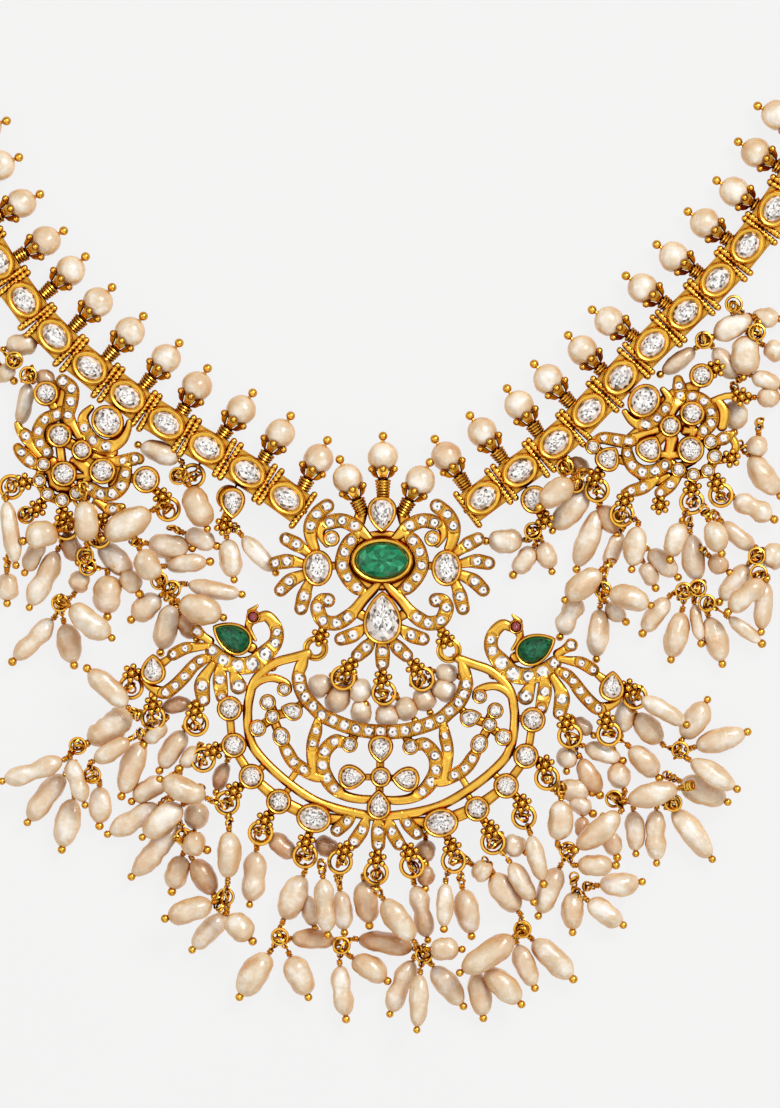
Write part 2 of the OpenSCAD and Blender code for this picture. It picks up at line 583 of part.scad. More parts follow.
module side_frame(strips, seats, hangs, held) {
    casting(frame_z, seats) {
        for (s = strips) strip(s, 2);
        for (b = seats) seat(b);
        for (h = hangs) flower_plan(at(h[0], h[1]));
    }
    for (h = hangs) hanger(at(h[2], h[3]), at(h[0], h[1]));
    far_eye(held, frame_z);
}

// Eye and stem on the far side of a band ring, under a plate whose underside is at under
module far_eye(r, under) {
    e = band_ring(r) + arm_out(r) * jump_r;
    eye(e, arm_out(r), band_ring_z);
    translate([e[0], e[1], band_ring_z + 0.5])
        cylinder(h = under - band_ring_z, r = 0.22, $fn = 16);
}

module left_side_motif() {
    color(gold) side_frame(left_strips, left_seats, left_side_hangs, band_rings[2]);
}

module right_side_motif() {
    color(gold) side_frame(right_strips, right_seats, right_side_hangs, band_rings[5]);
}

module left_side_stones() {
    color(clear) for (i = [0 : 3]) gem(left_seats[i], stone_z, 0.5, 0.15, 0.8);
}

module right_side_stones() {
    color(clear) for (i = [0 : 3]) gem(right_seats[i], stone_z, 0.5, 0.15, 0.8);
}

// ---- Band links, strung on the wire of the chains

module link_body() {
    translate([-2.25, -link_w / 2, 0]) cube([4.5, link_w, link_h]);
    for (s = [-1, 1]) {
        translate([s * (link_l / 2 - 0.27) - 0.27, -2.45, 0.3]) cube([0.54, 4.9, link_h - 0.4]);
        translate([s * (link_l / 2 - 0.28), -2.45, link_h - 0.15]) rotate([-90, 0, 0])
            cylinder(h = 4.9, r = 0.28, $fn = 16);
    }
    translate([0, 0, link_h - 0.2]) linear_extrude(1.35) offset(delta = 0.01)
        polygon(outline(0, 4.7, 3.75, 28));
}

// Seat of the stone and hole for the string
module link_bore() {
    translate([0, 0, 2]) linear_extrude(4) offset(delta = 0.01)
        polygon(outline(0, band_stone_l + 0.2, band_stone_w + 0.2, 28));
    translate([-4, 0, string_z]) rotate([0, 90, 0]) cylinder(h = 8, r = 0.45, $fn = 16);
}

// Round pearls of the posts from the centre outwards, rows of x, y
left_spikes = [[317.9, 458.7], [279.7, 433.4], [240.5, 409.7], [196.8, 386.1], [165.8, 358.9],
    [129.5, 331.6], [97.4, 302.1], [69.7, 270.3], [45.3, 240.8], [21, 203.2], [-0.8, 165],
    [-14, 126]];
right_spikes = [[446.2, 456.4], [482.5, 432.1], [519.2, 405.3], [548.5, 379], [582.9, 350],
    [609.8, 320.9], [643.2, 287.5], [674.3, 255.9], [705.3, 223.1], [734.7, 191.1],
    [756.4, 152.1], [776.8, 114.8]];

// Middle of the pearl p, the post points there from its foot on link r
module spike_place(p, r) {
    c = at(p[0], p[1]);
    d = c - arm_mid(r) + arm_dir(r) * post_off + arm_out(r) * link_w / 2;
    translate([c[0], c[1], post_z]) rotate([0, 0, atan2(d[1], d[0]) - 90]) children();
}

module left_link_place(i) {
    m = left_mid(i);
    translate([m[0], m[1], 0]) rotate([0, 0, -left_heading[i]]) children();
}

module right_link_place(i) {
    m = right_mid(i);
    translate([m[0], m[1], 0]) rotate([0, 0, right_heading[i]]) mirror([1, 0, 0]) children();
}

// Eye on the outer side of a link for one row of the band rings
module link_eye(r) {
    e = arm_mid(r) + arm_out(r) * eye_at;
    b = arm_mid(r) + arm_out(r) * (link_w / 2 - 0.2);
    eye(e + arm_out(r) * 0.05, arm_out(r), band_ring_z);
    rod([e[0] - arm_out(r)[0] * 0.45, e[1] - arm_out(r)[1] * 0.45, band_ring_z],
        [b[0], b[1], band_ring_z], 0.3);
}

module left_band_links() {
    color(gold) {
        for (i = [0 : len(left_heading) - 1]) difference() {
            union() {
                left_link_place(i) link_body();
                spike_place(left_spikes[i], [0, i, 0]) translate([0, -pearl_out, 0]) post();
            }
            left_link_place(i) link_bore();
        }
        for (r = band_rings) if (r[0] == 0) link_eye(r);
    }
}

module right_band_links() {
    color(gold) {
        for (i = [0 : len(right_heading) - 1]) difference() {
            union() {
                right_link_place(i) link_body();
                spike_place(right_spikes[i], [1, i, 0]) translate([0, -pearl_out, 0]) post();
            }
            right_link_place(i) link_bore();
        }
        for (r = band_rings) if (r[0] == 1) link_eye(r);
    }
}

band_seat = [382, 560.2, grid * (band_stone_l + 2 * bezel_wall + 2 * gap),
    grid * (band_stone_w + 2 * bezel_wall + 2 * gap), 0, 0];

module left_band_stones() {
    color(clear) for (i = [0 : len(left_heading) - 1]) left_link_place(i)
        gem(band_seat, 2.2, 1.5, 0.2, 0.75);
}

module right_band_stones() {
    color(clear) for (i = [0 : len(right_heading) - 1]) right_link_place(i)
        gem(band_seat, 2.2, 1.5, 0.2, 0.75);
}

module left_spike_pearls() {
    color(cream) for (i = [0 : len(left_heading) - 1]) spike_place(left_spikes[i], [0, i, 0])
        spike_pearl();
}

module right_spike_pearls() {
    color(cream) for (i = [0 : len(right_heading) - 1]) spike_place(right_spikes[i], [1, i, 0])
        spike_pearl();
}

// ---- Small drops hung below the band

left_drop_seat = [232.4, 503.1, 25, 31, 180, 1];
right_drop_seat = [534.7, 499.6, 28, 28, 0, 0];
drop_hangs = [[223.5, 526, 225, 536], [545, 520, 538, 531]];
drop_z = 2.6;
drop_ring_z = 1.3;

module drop(b, h, held) {
    casting(drop_z, [b]) {
        seat(b);
        flower_plan(at(h[0], h[1]), 1.1);
        strip([[b[0], b[1], 8], [h[0], h[1], 8]], 1);
    }
    u = unit(at(h[2], h[3]) - at(h[0], h[1]));
    e = at(h[2], h[3]) - u * jump_r;
    eye(e, u, drop_ring_z);
    translate([e[0], e[1], drop_ring_z + 0.5]) cylinder(h = 1.4, r = 0.22, $fn = 16);
    translate([at(h[0], h[1])[0], at(h[0], h[1])[1], drop_z + plate_t - 0.1])
        sphere(r = 0.6, $fn = 20);
    far_eye(held, drop_z);
}

module left_drop() {
    color(gold) drop(left_drop_seat, drop_hangs[0], band_rings[0]);
}

module right_drop() {
    color(gold) drop(right_drop_seat, drop_hangs[1], band_rings[3]);
}

module drop_stones() {
    color(clear) for (b = [left_drop_seat, right_drop_seat])
        gem(b, drop_z + plate_t + 0.12, 0.5, 0.15, 0.8);
}

module linking_rings() {
    color(gold) {
        for (h = link_rings) ring(at(h[2], h[3]), ring_z, jump_r, jump_wire);
        for (i = [0, 2, 3, 5]) ring(band_ring(band_rings[i]), band_ring_z, jump_r, jump_wire);
    }
}

// ---- Hanging clusters of rice pearls

// Rings, rows of x, y, mean radius and height in millimetres
function jumps(hangs, z = ring_z) = [for (h = hangs) [h[2], h[3], jump_r, z]];
function coils(spots) = [for (c = spots) [c[0], c[1], coil_r, ring_z]];
function on_band(r) = let (c = band_ring(r)) [382 + c[0] * grid, 560.2 - c[1] * grid, jump_r,
    band_ring_z];

// Height of a pearl's axis from its width and layer
function pearl_z(p) = 0.03 + p[5] * layer_step + p[4] / grid / 2;
function pearl_in(p) = concat(at(p[0], p[1]), [pearl_z(p)]);
function pearl_end(p) = concat(at(p[2], p[3]), [pearl_z(p)]);

// Rice pearl, a revolved profile with a drilled hole, with or without a waist
module rice(p) {
    a = pearl_in(p);
    b = pearl_end(p);
    long = norm(b - a);
    wide = p[4] / grid / 2;
    prof = [for (i = [0 : 10]) let (t = i / 10, s = abs(2 * t - 1))
        [max(hole_r + 0.08, wide * pow(1 - pow(s, 2.5), 0.55)
            * (1 - p[6] * 0.2 * exp(-pow((t - 0.5) / 0.14, 2)))), t * long]];
    translate(a) rotate([0, 90, atan2(b[1] - a[1], b[0] - a[0])]) rotate_extrude($fn = 20)
        polygon(concat([[hole_r, 0]], prof, [[hole_r, long]]));
}

module pearls(rows) {
    color(cream) for (p = rows) rice(p);
}

// Rings and headpins, each pin runs from its ring through the pearl to a ball or a ring
module wires(rings, rows) {
    color(gold) {
        for (r = rings) ring(at(r[0], r[1]), r[3], r[2], r[2] > 1.2 ? jump_wire : 0.2);
        for (p = rows) {
            a = pearl_in(p);
            b = pearl_end(p);
            d = unit(b - a);
            start = a - d * 0.45;
            r = rings[p[7]];
            c = concat(at(r[0], r[1]), [r[3]]);
            flat = [start[0] - c[0], start[1] - c[1], 0];
            from = c + (norm(flat) < 0.01 ? [r[2], 0, 0] : unit(flat) * r[2]);
            rod(from, start, pin_r);
            translate(start) sphere(r = 0.3, $fn = 16);
            rod(start, b + d * 0.5, pin_r);
            if (p[8] < 0) translate(b + d * 0.6) sphere(r = 0.5, $fn = 20);
            else {
                q = rings[p[8]];
                k = concat(at(q[0], q[1]), [q[3]]);
                e = b + d * 0.6;
                back = [e[0] - k[0], e[1] - k[1], 0];
                translate(e) sphere(r = 0.3, $fn = 16);
                rod(e, k + unit(back) * q[2], pin_r);
            }
        }
    }
}

// Pearl rows: inner x, inner y, outer x, outer y, width, layer, waist, ring in, ring out or -1
crescent_left_rings = concat(jumps(left_hangs),
    coils([[77.6, 746], [92, 775], [184, 837], [225.5, 897]]));
crescent_left_rows = [
    [126.5, 705.3, 89.8, 670.6, 24, 1, 0, 0, -1],
    [130, 713, 89, 742, 32, 0, 0, 0, 6],
    [128.6, 740, 95, 760, 20, 1, 0, 1, 7],
    [140.8, 743, 122.4, 793, 27, 0, 0, 1, -1],
    [183.7, 732, 161.2, 767.6, 24, 0, 0, 2, -1],
    [62, 760, 5, 780, 25, 1, 1, 6, -1],
    [63, 776, 29, 820, 26, 0, 0, 6, -1],
    [71, 760, 84, 801, 22, 1, 1, 6, -1],
    [73, 800, 62, 847, 26, 0, 0, 6, -1],
    [99, 788, 99, 823, 24, 0, 0, 7, -1],
    [157, 806, 110, 833, 25, 0, 1, 3, -1],
    [205, 797, 163, 780, 27, 1.15, 0, 3, -1],
    [198, 803, 194, 829, 27, 0, 0, 3, 8],
    [181, 806, 145, 835, 28, 0.72, 0, 3, -1],
    [176.5, 826, 133, 875, 24, 0, 0, 8, -1],
    [184, 841, 204, 848.5, 27, 1, 0, 8, -1],
    [182, 857, 172.5, 889, 25, 0, 0, 8, -1],
    [229, 832, 228, 877, 26, 1, 0, 4, 9],
    [211, 903, 169, 917, 28, 1, 0, 9, -1],
    [223.5, 915.5, 194, 948, 24, 0, 0, 9, -1],
    [229, 916, 250, 938, 28, 1, 0, 9, -1],
    [255.8, 852.5, 249.8, 901.5, 27, 0, 1, 5, -1]];

crescent_base_rings = concat(jumps(base_hangs),
    coils([[279.8, 936.8], [341.5, 945.5], [424, 955]]));
crescent_base_rows = [
    [302.5, 877, 284, 919, 29, 0, 0, 0, 5],
    [268, 955, 241, 995, 30, 0, 0, 5, -1],
    [290.6, 957.6, 307, 995, 29, 0, 0, 5, -1],
    [323, 879, 327.5, 931, 24, 1, 1, 1, -1],
    [340, 967, 345.5, 1016, 24, 0, 1, 6, -1],
    [353.6, 959, 382.5, 979, 26, 0, 0, 6, -1],
    [412, 949, 359, 940, 24, 0, 0, 7, 6],
    [364, 882, 369, 920, 26, 0, 0, 2, -1],
    [384.4, 900, 412.5, 939, 27, 1, 0, 2, 7],
    [415, 887, 427, 937, 25, 0, 1, 3, -1],
    [412.5, 962, 391, 1012, 24, 0, 1, 7, -1],
    [420, 975, 417, 1026, 21, 1, 0, 7, -1],
    [463, 890.6, 471, 933.5, 27, 0, 0, 4, -1],
    [431, 949, 457, 948, 24, 1, 0, 7, -1],
    [433.5, 968, 461.6, 1004.5, 24, 0, 0, 7, -1]];

crescent_right_rings = concat(jumps(right_hangs),
    coils([[522.5, 929.5], [568, 850.6], [680.3, 750], [614, 799], [673.5, 803]]));
crescent_right_rows = [
    [494, 874.5, 518, 911, 27, 0, 0, 0, 6],
    [512.5, 937, 463, 970, 29, 1.12, 0, 6, -1],
    [476, 974, 483, 1016, 24, 0, 0, 6, -1],
    [487, 970, 519, 1002, 25, 0.45, 0, 6, -1],
    [534, 941.5, 571.4, 977.7, 27, 0, 0, 6, -1],
    [531, 836, 542.5, 880, 20, 1, 0, 1, -1],
    [560.7, 801, 557.5, 839.4, 27, 1, 0, 2, 7],
    [559.5, 869, 540, 913, 26, 0, 0, 7, -1],
    [574, 893, 573, 929.5, 24, 0, 0, 7, -1],
    [578, 865, 611.7, 865, 24, 1, 0, 7, -1],
    [600.6, 885.7, 638.9, 882.5, 26, 0, 0, 7, -1],
    [568.7, 748, 567, 766, 23, 0, 0, 3, -1],
    [559, 789, 589, 792.5, 24, 0, 0, 2, -1],
    [631, 748.5, 657, 775.7, 25, 0, 0, 4, -1],
    [616, 764, 622, 784, 22, 0, 0, 4, 9],
    [642, 699, 683.5, 723, 21, 1, 0, 5, -1],
    [637, 715, 661, 742, 25, 0, 0, 5, 8],
    [684, 738, 705, 703, 25, 0, 0, 8, -1],
    [697, 747, 745, 733, 24, 0, 0, 8, -1],
    [691.5, 761, 733.7, 787, 22, 1, 0, 8, -1],
    [682, 782, 725, 801, 30, 0, 0, 10, -1],
    [628.5, 799.6, 676.5, 788.5, 25, 1, 0, 9, 10],
    [618, 813, 578, 847.4, 26, 1, 0, 9, -1],
    [657, 811, 657, 860, 25, 0, 1, 10, -1],
    [674, 811, 710.6, 857, 26, 0, 0, 10, -1]];

left_side_rings = concat(jumps(left_side_hangs), [on_band(band_rings[1])],
    coils([[85, 560], [166, 586], [59, 604.5]]));
left_side_rows = [
    [6.7, 502, 15.6, 562, 20, 1, 0, 0, -1],
    [57, 531, 33, 538.5, 29, 1, 0, 4, -1],
    [56, 552, 32, 605, 24, 0, 1, 4, -1],
    [99, 545, 130, 572, 23, 0, 0, 2, -1],
    [107, 578, 107, 613, 32, 0, 0, 6, -1],
    [71.4, 606.8, 109.4, 635.8, 29, 1, 0, 8, -1],
    [64, 624.6, 73, 662.6, 25, 0, 0, 8, -1],
    [51.3, 620, 14.5, 659, 23, 0, 1, 8, -1],
    [85, 507, 87, 541, 27, 1.33, 0, 1, 6],
    [84.5, 573, 75, 591, 23, 0, 0, 6, 8],
    [190.4, 488, 206.3, 525.7, 30, 1, 0, 5, -1],
    [150, 512, 106, 537, 30, 1, 0, 3, -1],
    [148.5, 543.5, 188, 548, 25, 0, 0, 3, -1],
    [141, 551, 157, 578, 27, 1, 0, 3, 7],
    [180.8, 602, 220.7, 616.5, 28, 1, 0, 7, -1],
    [157, 597, 133, 618, 24, 0, 0, 7, -1],
    [171.6, 605.4, 161, 649, 24, 0, 0, 7, -1]];

right_side_rings = concat(jumps(right_side_hangs), [on_band(band_rings[4])],
    coils([[603, 590], [698, 590], [758, 563]]));
right_side_rows = [
    [571, 481, 544.5, 504.5, 26, 1.42, 0, 4, -1],
    [588, 491, 560.5, 526, 25, 0, 0, 4, -1],
    [598, 511, 579, 564, 24, 0, 0, 0, -1],
    [599.3, 571.5, 567, 598, 25, 1, 0, 5, -1],
    [579.3, 599, 561.7, 634, 25, 0, 1, 5, -1],
    [600, 610, 596.8, 656.4, 24, 0, 0, 5, -1],
    [621, 533, 608, 564, 19, 0, 0, 1, 5],
    [637.5, 527.3, 632, 565.5, 24, 1, 0, 1, -1],
    [609.6, 592.7, 648, 604.6, 26, 1, 0, 5, -1],
    [680.6, 524, 671, 556, 23, 1, 0, 2, -1],
    [691, 535, 698, 580, 24, 0, 0, 2, 6],
    [709.3, 523, 720.4, 551, 25, 1, 0, 3, -1],
    [724, 523, 752, 547, 20, 0, 0, 3, 7],
    [747.6, 566, 722, 599, 25, 0, 0, 7, -1],
    [763.5, 581.5, 730, 610, 25, 1, 1, 7, -1],
    [682, 613, 672, 657, 25, 0, 0, 6, -1]];

module crescent_left_pearls() {
    pearls(crescent_left_rows);
}

module crescent_left_wires() {
    wires(crescent_left_rings, crescent_left_rows);
}

module crescent_base_pearls() {
    pearls(crescent_base_rows);
}

module crescent_base_wires() {
    wires(crescent_base_rings, crescent_base_rows);
}

module crescent_right_pearls() {
    pearls(crescent_right_rows);
}

module crescent_right_wires() {
    wires(crescent_right_rings, crescent_right_rows);
}

module left_side_pearls() {
    pearls(left_side_rows);
}

module left_side_wires() {
    wires(left_side_rings, left_side_rows);
}

module right_side_pearls() {
    pearls(right_side_rows);
}

module right_side_wires() {
    wires(right_side_rings, right_side_rows);
}

// ---- Wire through the links, chain round the back and clasp

function bez(a, b, c, d, t) = pow(1 - t, 3) * a + 3 * t * pow(1 - t, 2) * b
    + 3 * t * t * (1 - t) * c + pow(t, 3) * d;

// Sweep of an eight sided section, path rows are x, y, radius
module sweep(path, z) {
    n = 8;
    m = len(path);
    tan = [for (i = [0 : m - 1]) let (a = path[max(i - 1, 0)], b = path[min(i + 1, m - 1)])
        unit([b[0] - a[0], b[1] - a[1]])];
    pts = [for (i = [0 : m - 1]) for (j = [0 : n - 1]) let (t = 360 * (j + 0.5) / n, r = path[i][2])
        [path[i][0] - tan[i][1] * r * cos(t), path[i][1] + tan[i][0] * r * cos(t), z + r * sin(t)]];
    caps = [[for (j = [0 : n - 1]) j], [for (j = [n - 1 : -1 : 0]) (m - 1) * n + j]];
    sides = [for (i = [0 : m - 2]) for (j = [0 : n - 1])
        [i * n + (j + 1) % n, i * n + j, (i + 1) * n + j, (i + 1) * n + (j + 1) % n]];
    polyhedron(pts, concat(caps, sides));
}

function arm_path(joints, first, last, side) =
    let (e = joints[len(joints) - 1], d = unit(last),
        a = e + d * 1.2, b = a + d * 40, f = [side * 4.6, clasp_y], c = f + [side * 50, 0],
        r = chain_d / 2)
    concat([concat(joints[0] + first * 0.8, [0.3])], [for (j = joints) concat(j, [0.3])],
        [concat(e + d * 0.35, [0.3]), concat(e + d * 0.6, [r])],
        [for (i = [0 : 32]) concat(bez(a, b, c, f, i / 32), [r])],
        [concat(f - [side * 1.6, 0], [r])]);

module left_chain() {
    n = len(left_heading);
    first = [cos(left_heading[0]), -sin(left_heading[0])];
    last = [-cos(left_heading[n - 1]), sin(left_heading[n - 1])];
    color(gold) sweep(arm_path([for (k = [0 : n]) left_joint(k)], first, last, -1), string_z);
}

module right_chain() {
    n = len(right_heading);
    first = [-cos(right_heading[0]), -sin(right_heading[0])];
    last = [cos(right_heading[n - 1]), sin(right_heading[n - 1])];
    color(gold) sweep(arm_path([for (k = [0 : n]) right_joint(k)], first, last, 1), string_z);
}

module clasp() {
    color(gold) translate([0, clasp_y, string_z]) rotate([0, 90, 0]) difference() {
        cylinder(h = 9, r = 1.25, center = true, $fn = 24);
        for (s = [-1, 1]) translate([0, 0, s * 4.6]) cylinder(h = 4, r = chain_d / 2 + 0.12,
            center = true, $fn = 24);
    }
}

// Node to draw, all or one name of the list

centre_motif();
crescent_frame();
left_side_motif();
right_side_motif();
left_band_links();
right_band_links();
left_band_stones();
right_band_stones();
left_spike_pearls();
right_spike_pearls();
crown_pearls();
emerald_oval();
crown_pear_stone();
left_oval_stone();
right_oval_stone();
drop_pear_stone();
left_peacock_emerald();
right_peacock_emerald();
left_peacock_eye();
right_peacock_eye();
left_tail_stone();
right_tail_stone();
scroll_stones();
rim_stones();
left_side_stones();
right_side_stones();
left_drop();
right_drop();
drop_stones();
linking_rings();
crescent_left_pearls();
crescent_left_wires();
crescent_base_pearls();
crescent_base_wires();
crescent_right_pearls();
crescent_right_wires();
left_side_pearls();
left_side_wires();
right_side_pearls();
right_side_wires();
left_chain();
right_chain();
clasp();
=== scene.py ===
"""A temple necklace laid flat on a pale table and seen straight from above."""
import bpy
import numpy as np
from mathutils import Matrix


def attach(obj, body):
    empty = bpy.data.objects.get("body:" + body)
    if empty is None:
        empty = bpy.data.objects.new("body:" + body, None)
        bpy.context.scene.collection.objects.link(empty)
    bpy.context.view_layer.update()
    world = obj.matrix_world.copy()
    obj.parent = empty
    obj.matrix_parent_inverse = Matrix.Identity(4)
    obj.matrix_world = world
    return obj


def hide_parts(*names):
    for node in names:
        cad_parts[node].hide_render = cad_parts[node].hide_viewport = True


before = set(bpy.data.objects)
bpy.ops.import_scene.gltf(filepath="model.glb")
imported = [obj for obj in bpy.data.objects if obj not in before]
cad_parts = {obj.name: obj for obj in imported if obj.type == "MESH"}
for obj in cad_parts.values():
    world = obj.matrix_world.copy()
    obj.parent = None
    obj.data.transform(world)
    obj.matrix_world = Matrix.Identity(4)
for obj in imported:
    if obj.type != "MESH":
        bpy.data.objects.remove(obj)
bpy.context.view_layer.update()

# ---- The table, the light and the camera
# The necklace lies on a pale, plain table and a long lens looks straight down on it. A soft light
# stands at the upper right and two weak ones at the left and below. The room is bright overhead,
# and dim and warm near the table.


def grid(rows, cols, wrap_rows=False, wrap_cols=False):
    """Quads of a grid of points: each joins a point, its neighbour and the two of the next row."""
    i = np.arange(rows if wrap_rows else rows - 1)[:, None]
    j = np.arange(cols if wrap_cols else cols - 1)[None, :]
    k, l = (i + 1) % rows, (j + 1) % cols
    return np.stack([i * cols + j, i * cols + l, k * cols + l, k * cols + j], -1).reshape(-1, 4)


def weld(parts):
    """Points, corners of the faces, their numbers of sides and their tones, from parts of points,
    quads and perhaps a tone per face. Points that fall in the same two micrometres become one, and
    a quad that loses a side becomes a triangle."""
    v = np.concatenate([p[0] for p in parts])
    start = np.cumsum([0] + [len(p[0]) for p in parts[:-1]])
    q = np.concatenate([p[1] + s for p, s in zip(parts, start)])
    tone = np.concatenate([p[2] if len(p) > 2 else np.zeros(len(p[1])) for p in parts])
    # one whole number for each cell of two micrometres
    key = np.round(v / 0.002).astype(np.int64) @ np.array([1, 2 ** 21, 2 ** 42])
    _, first, back = np.unique(key, return_index=True, return_inverse=True)
    v, q = v[first], back.reshape(-1)[q]
    same = q == np.roll(q, -1, 1)
    cross = (q[:, 0] == q[:, 2]) | (q[:, 1] == q[:, 3])
    full = ~same.any(1) & ~cross
    thin = (same.sum(1) == 1) & ~cross
    k = same[thin].argmax(1)[:, None]
    tri = np.take_along_axis(q[thin], (k + [1, 2, 3]) % 4, 1)
    corners = np.concatenate([q[full].ravel(), tri.ravel()])
    sides = np.concatenate([np.full(full.sum(), 4), np.full(len(tri), 3)])
    return v, corners, sides, np.concatenate([tone[full], tone[thin]])


def make(name, parts, finish, slot, *nodes, flat=False, sharp=0.7):
    """One object from parts in millimetres, with its material, hung from the root and standing for the
    CAD nodes that it hides. One without a slot only dresses the stage."""
    v, corners, sides, tone = weld(parts)
    mesh = bpy.data.meshes.new(name)
    mesh.vertices.add(len(v))
    mesh.vertices.foreach_set("co", (v * 0.001).astype(np.float32).ravel())
    mesh.loops.add(len(corners))
    mesh.loops.foreach_set("vertex_index", corners.astype(np.int32))
    mesh.polygons.add(len(sides))
    mesh.polygons.foreach_set("loop_start", (np.cumsum(sides) - sides).astype(np.int32))
    mesh.polygons.foreach_set("use_smooth", np.full(len(sides), not flat))
    mesh.update(calc_edges=True)
    tones = mesh.attributes.new("tone", "FLOAT", "FACE")
    tones.data.foreach_set("value", tone.astype(np.float32))
    if not flat:
        mesh.set_sharp_from_angle(angle=sharp)
    mesh.validate()
    mesh.materials.append(finish)
    piece = bpy.data.objects.new(name, mesh)
    bpy.context.scene.collection.objects.link(piece)
    if slot is None:
        return
    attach(piece, "root")
    if nodes:
        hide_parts(*nodes)


def fill(tree, node, values=(), links=()):
    """Sets a node's values by socket or property, and links its sockets to other nodes' outputs."""
    for key, value in dict(values).items():
        if isinstance(key, str) and hasattr(node, key):
            setattr(node, key, value)
        else:
            node.inputs[key].default_value = value
    for key, source in dict(links).items():
        tree.links.new(source, node.inputs[key])
    return node


def add(tree, kind, values=(), links=()):
    """A new node of a kind, filled with its values and links."""
    return fill(tree, tree.nodes.new(kind), values, links)


def surface(name):
    """A new material with a Principled shader joined to its output, its tree and its shader."""
    material = bpy.data.materials.new(name)
    material.use_nodes = True
    tree = material.node_tree
    tree.nodes.clear()
    shader = add(tree, "ShaderNodeBsdfPrincipled")
    add(tree, "ShaderNodeOutputMaterial", links={0: shader.outputs[0]})
    return material, tree, shader


def noise(tree, scale, detail, rough=0.5):
    """Soft noise through the object's own space, its cells one metre over scale wide."""
    place = add(tree, "ShaderNodeTexCoord").outputs["Object"]
    return add(tree, "ShaderNodeTexNoise", {"Scale": scale, "Detail": detail, "Roughness": rough},
               {"Vector": place}).outputs["Fac"]


def ramp(tree, source, stops):
    """Colour ramp through stops of place and colour."""
    n = add(tree, "ShaderNodeValToRGB", links={"Fac": source})
    band = n.color_ramp.elements
    while len(band) < len(stops):
        band.new(0.5)
    for e, (place, colour) in zip(band, stops):
        e.position, e.color = place, (*colour, 1)
    return n.outputs["Color"]


table_paint, tree, shader = surface("table_paint")
paint = ramp(tree, noise(tree, 40.0, 4.0), [(0.3, (0.05, 0.05, 0.05)), (0.7, (0.055, 0.055, 0.055))])
fill(tree, shader, {"Roughness": 0.9, "Specular IOR Level": 0.1, "Emission Color": (1, 1, 1, 1),
                    "Emission Strength": 0.84}, {"Base Color": paint})
TABLE_REACH, TABLE_TOP = 1500, -0.02
edge = np.linspace(-TABLE_REACH, TABLE_REACH, 4)
gx, gy = np.meshgrid(edge, edge, indexing="ij")
make("table_top", [(np.stack([gx, gy, gx * 0 + TABLE_TOP], -1).reshape(-1, 3), grid(4, 4)[:, ::-1])],
     table_paint, None)

LENS, SENSOR = 400, 36
PICTURE_TALL, PICTURE_MIDDLE, PENDANT_HALF = 0.1385, (0.001, 0.000775), 0.004
camera = bpy.data.objects.new("camera", bpy.data.cameras.new("camera"))
bpy.context.scene.collection.objects.link(camera)
camera.data.lens, camera.data.sensor_width = LENS, SENSOR
camera.data.clip_start, camera.data.clip_end = 0.05, 10
camera.location = (*PICTURE_MIDDLE, PICTURE_TALL * LENS / SENSOR + PENDANT_HALF)
bpy.context.scene.camera = camera


def lamp(name, place, size, power):
    """A square soft light at a place, turned towards the origin."""
    data = bpy.data.lights.new(name, "AREA")
    data.size, data.energy = size, power
    lit = bpy.data.objects.new(name, data)
    bpy.context.scene.collection.objects.link(lit)
    x, y, z = place
    lit.location = place
    lit.rotation_euler = (np.arctan2(np.hypot(x, y), z), 0, np.arctan2(-y, -x) - np.pi / 2)


lamp("key_light", (0.28, 0.34, 0.52), 0.24, 2.3)
lamp("fill_light", (-0.5, 0.1, 0.42), 0.3, 0.35)
lamp("low_light", (0.1, -0.6, 0.3), 0.3, 0.3)

world = bpy.data.worlds.new("studio")
bpy.context.scene.world = world
world.use_nodes = True
tree = world.node_tree
tree.nodes.clear()
way = add(tree, "ShaderNodeTexCoord").outputs["Generated"]
glow = ramp(tree, add(tree, "ShaderNodeSeparateXYZ", links={0: way}).outputs["Z"], [
    (0.0, (0.6, 0.5, 0.42)), (0.16, (0.22, 0.12, 0.06)), (0.36, (0.45, 0.31, 0.22)),
    (0.56, (0.95, 0.9, 0.85)), (0.84, (1.4, 1.36, 1.3)), (0.96, (1.9, 1.86, 1.8)),
    (0.998, (1.2, 1.15, 1.1))])
light = add(tree, "ShaderNodeBackground", {"Strength": 0.6}, {"Color": glow})
add(tree, "ShaderNodeOutputWorld", links={0: light.outputs[0]})
bpy.context.scene.view_settings.view_transform = "Standard"

# ---- Soldered head piece round the green oval
# Brass cast in strips with raised edges and small cells for pave stones, soldered to oval and
# pear shaped collars and plated with old gold. Its recesses are darker, partly its antique finish
# and partly painted shade, painted shade darkens the upright walls, and the open edges stay bright.
SQUARE, MIDDLE_X, MIDDLE_Y = 8.0, 382, 560.2  # squares of the drawing to a millimetre, its origin
PLATE, EDGE, COLLAR = 3.75, 5.0, 5.85  # heights of the back, of the strips and of the collars
RING, RING_Z = 1.35, 3.35  # radius and height of the jump rings
chance = np.random.default_rng(7)


def times(tree, a, b):
    """Product of two colours."""
    return add(tree, "ShaderNodeMix", {"data_type": "RGBA", "blend_type": "MULTIPLY", 0: 1.0},
               {6: a, 7: b}).outputs[2]


def by_slope(tree, stops):
    """Painted shade by the height of the surface's normal: colours from upright walls at 0 to level faces
    at 1.
    """
    normal = add(tree, "ShaderNodeNewGeometry").outputs["Normal"]
    return ramp(tree, add(tree, "ShaderNodeSeparateXYZ", links={0: normal}).outputs["Z"], stops)


def clouded(tree, cloud, much):
    """Each face's own tone, plus much times what the cloud departs from one half."""
    tone = add(tree, "ShaderNodeAttribute", {"attribute_name": "tone"}).outputs["Fac"]
    off = add(tree, "ShaderNodeMath", {"operation": "SUBTRACT", 1: 0.5}, {0: cloud}).outputs[0]
    return add(tree, "ShaderNodeMath", {"operation": "MULTIPLY_ADD", 1: much},
               {0: off, 2: tone}).outputs[0]


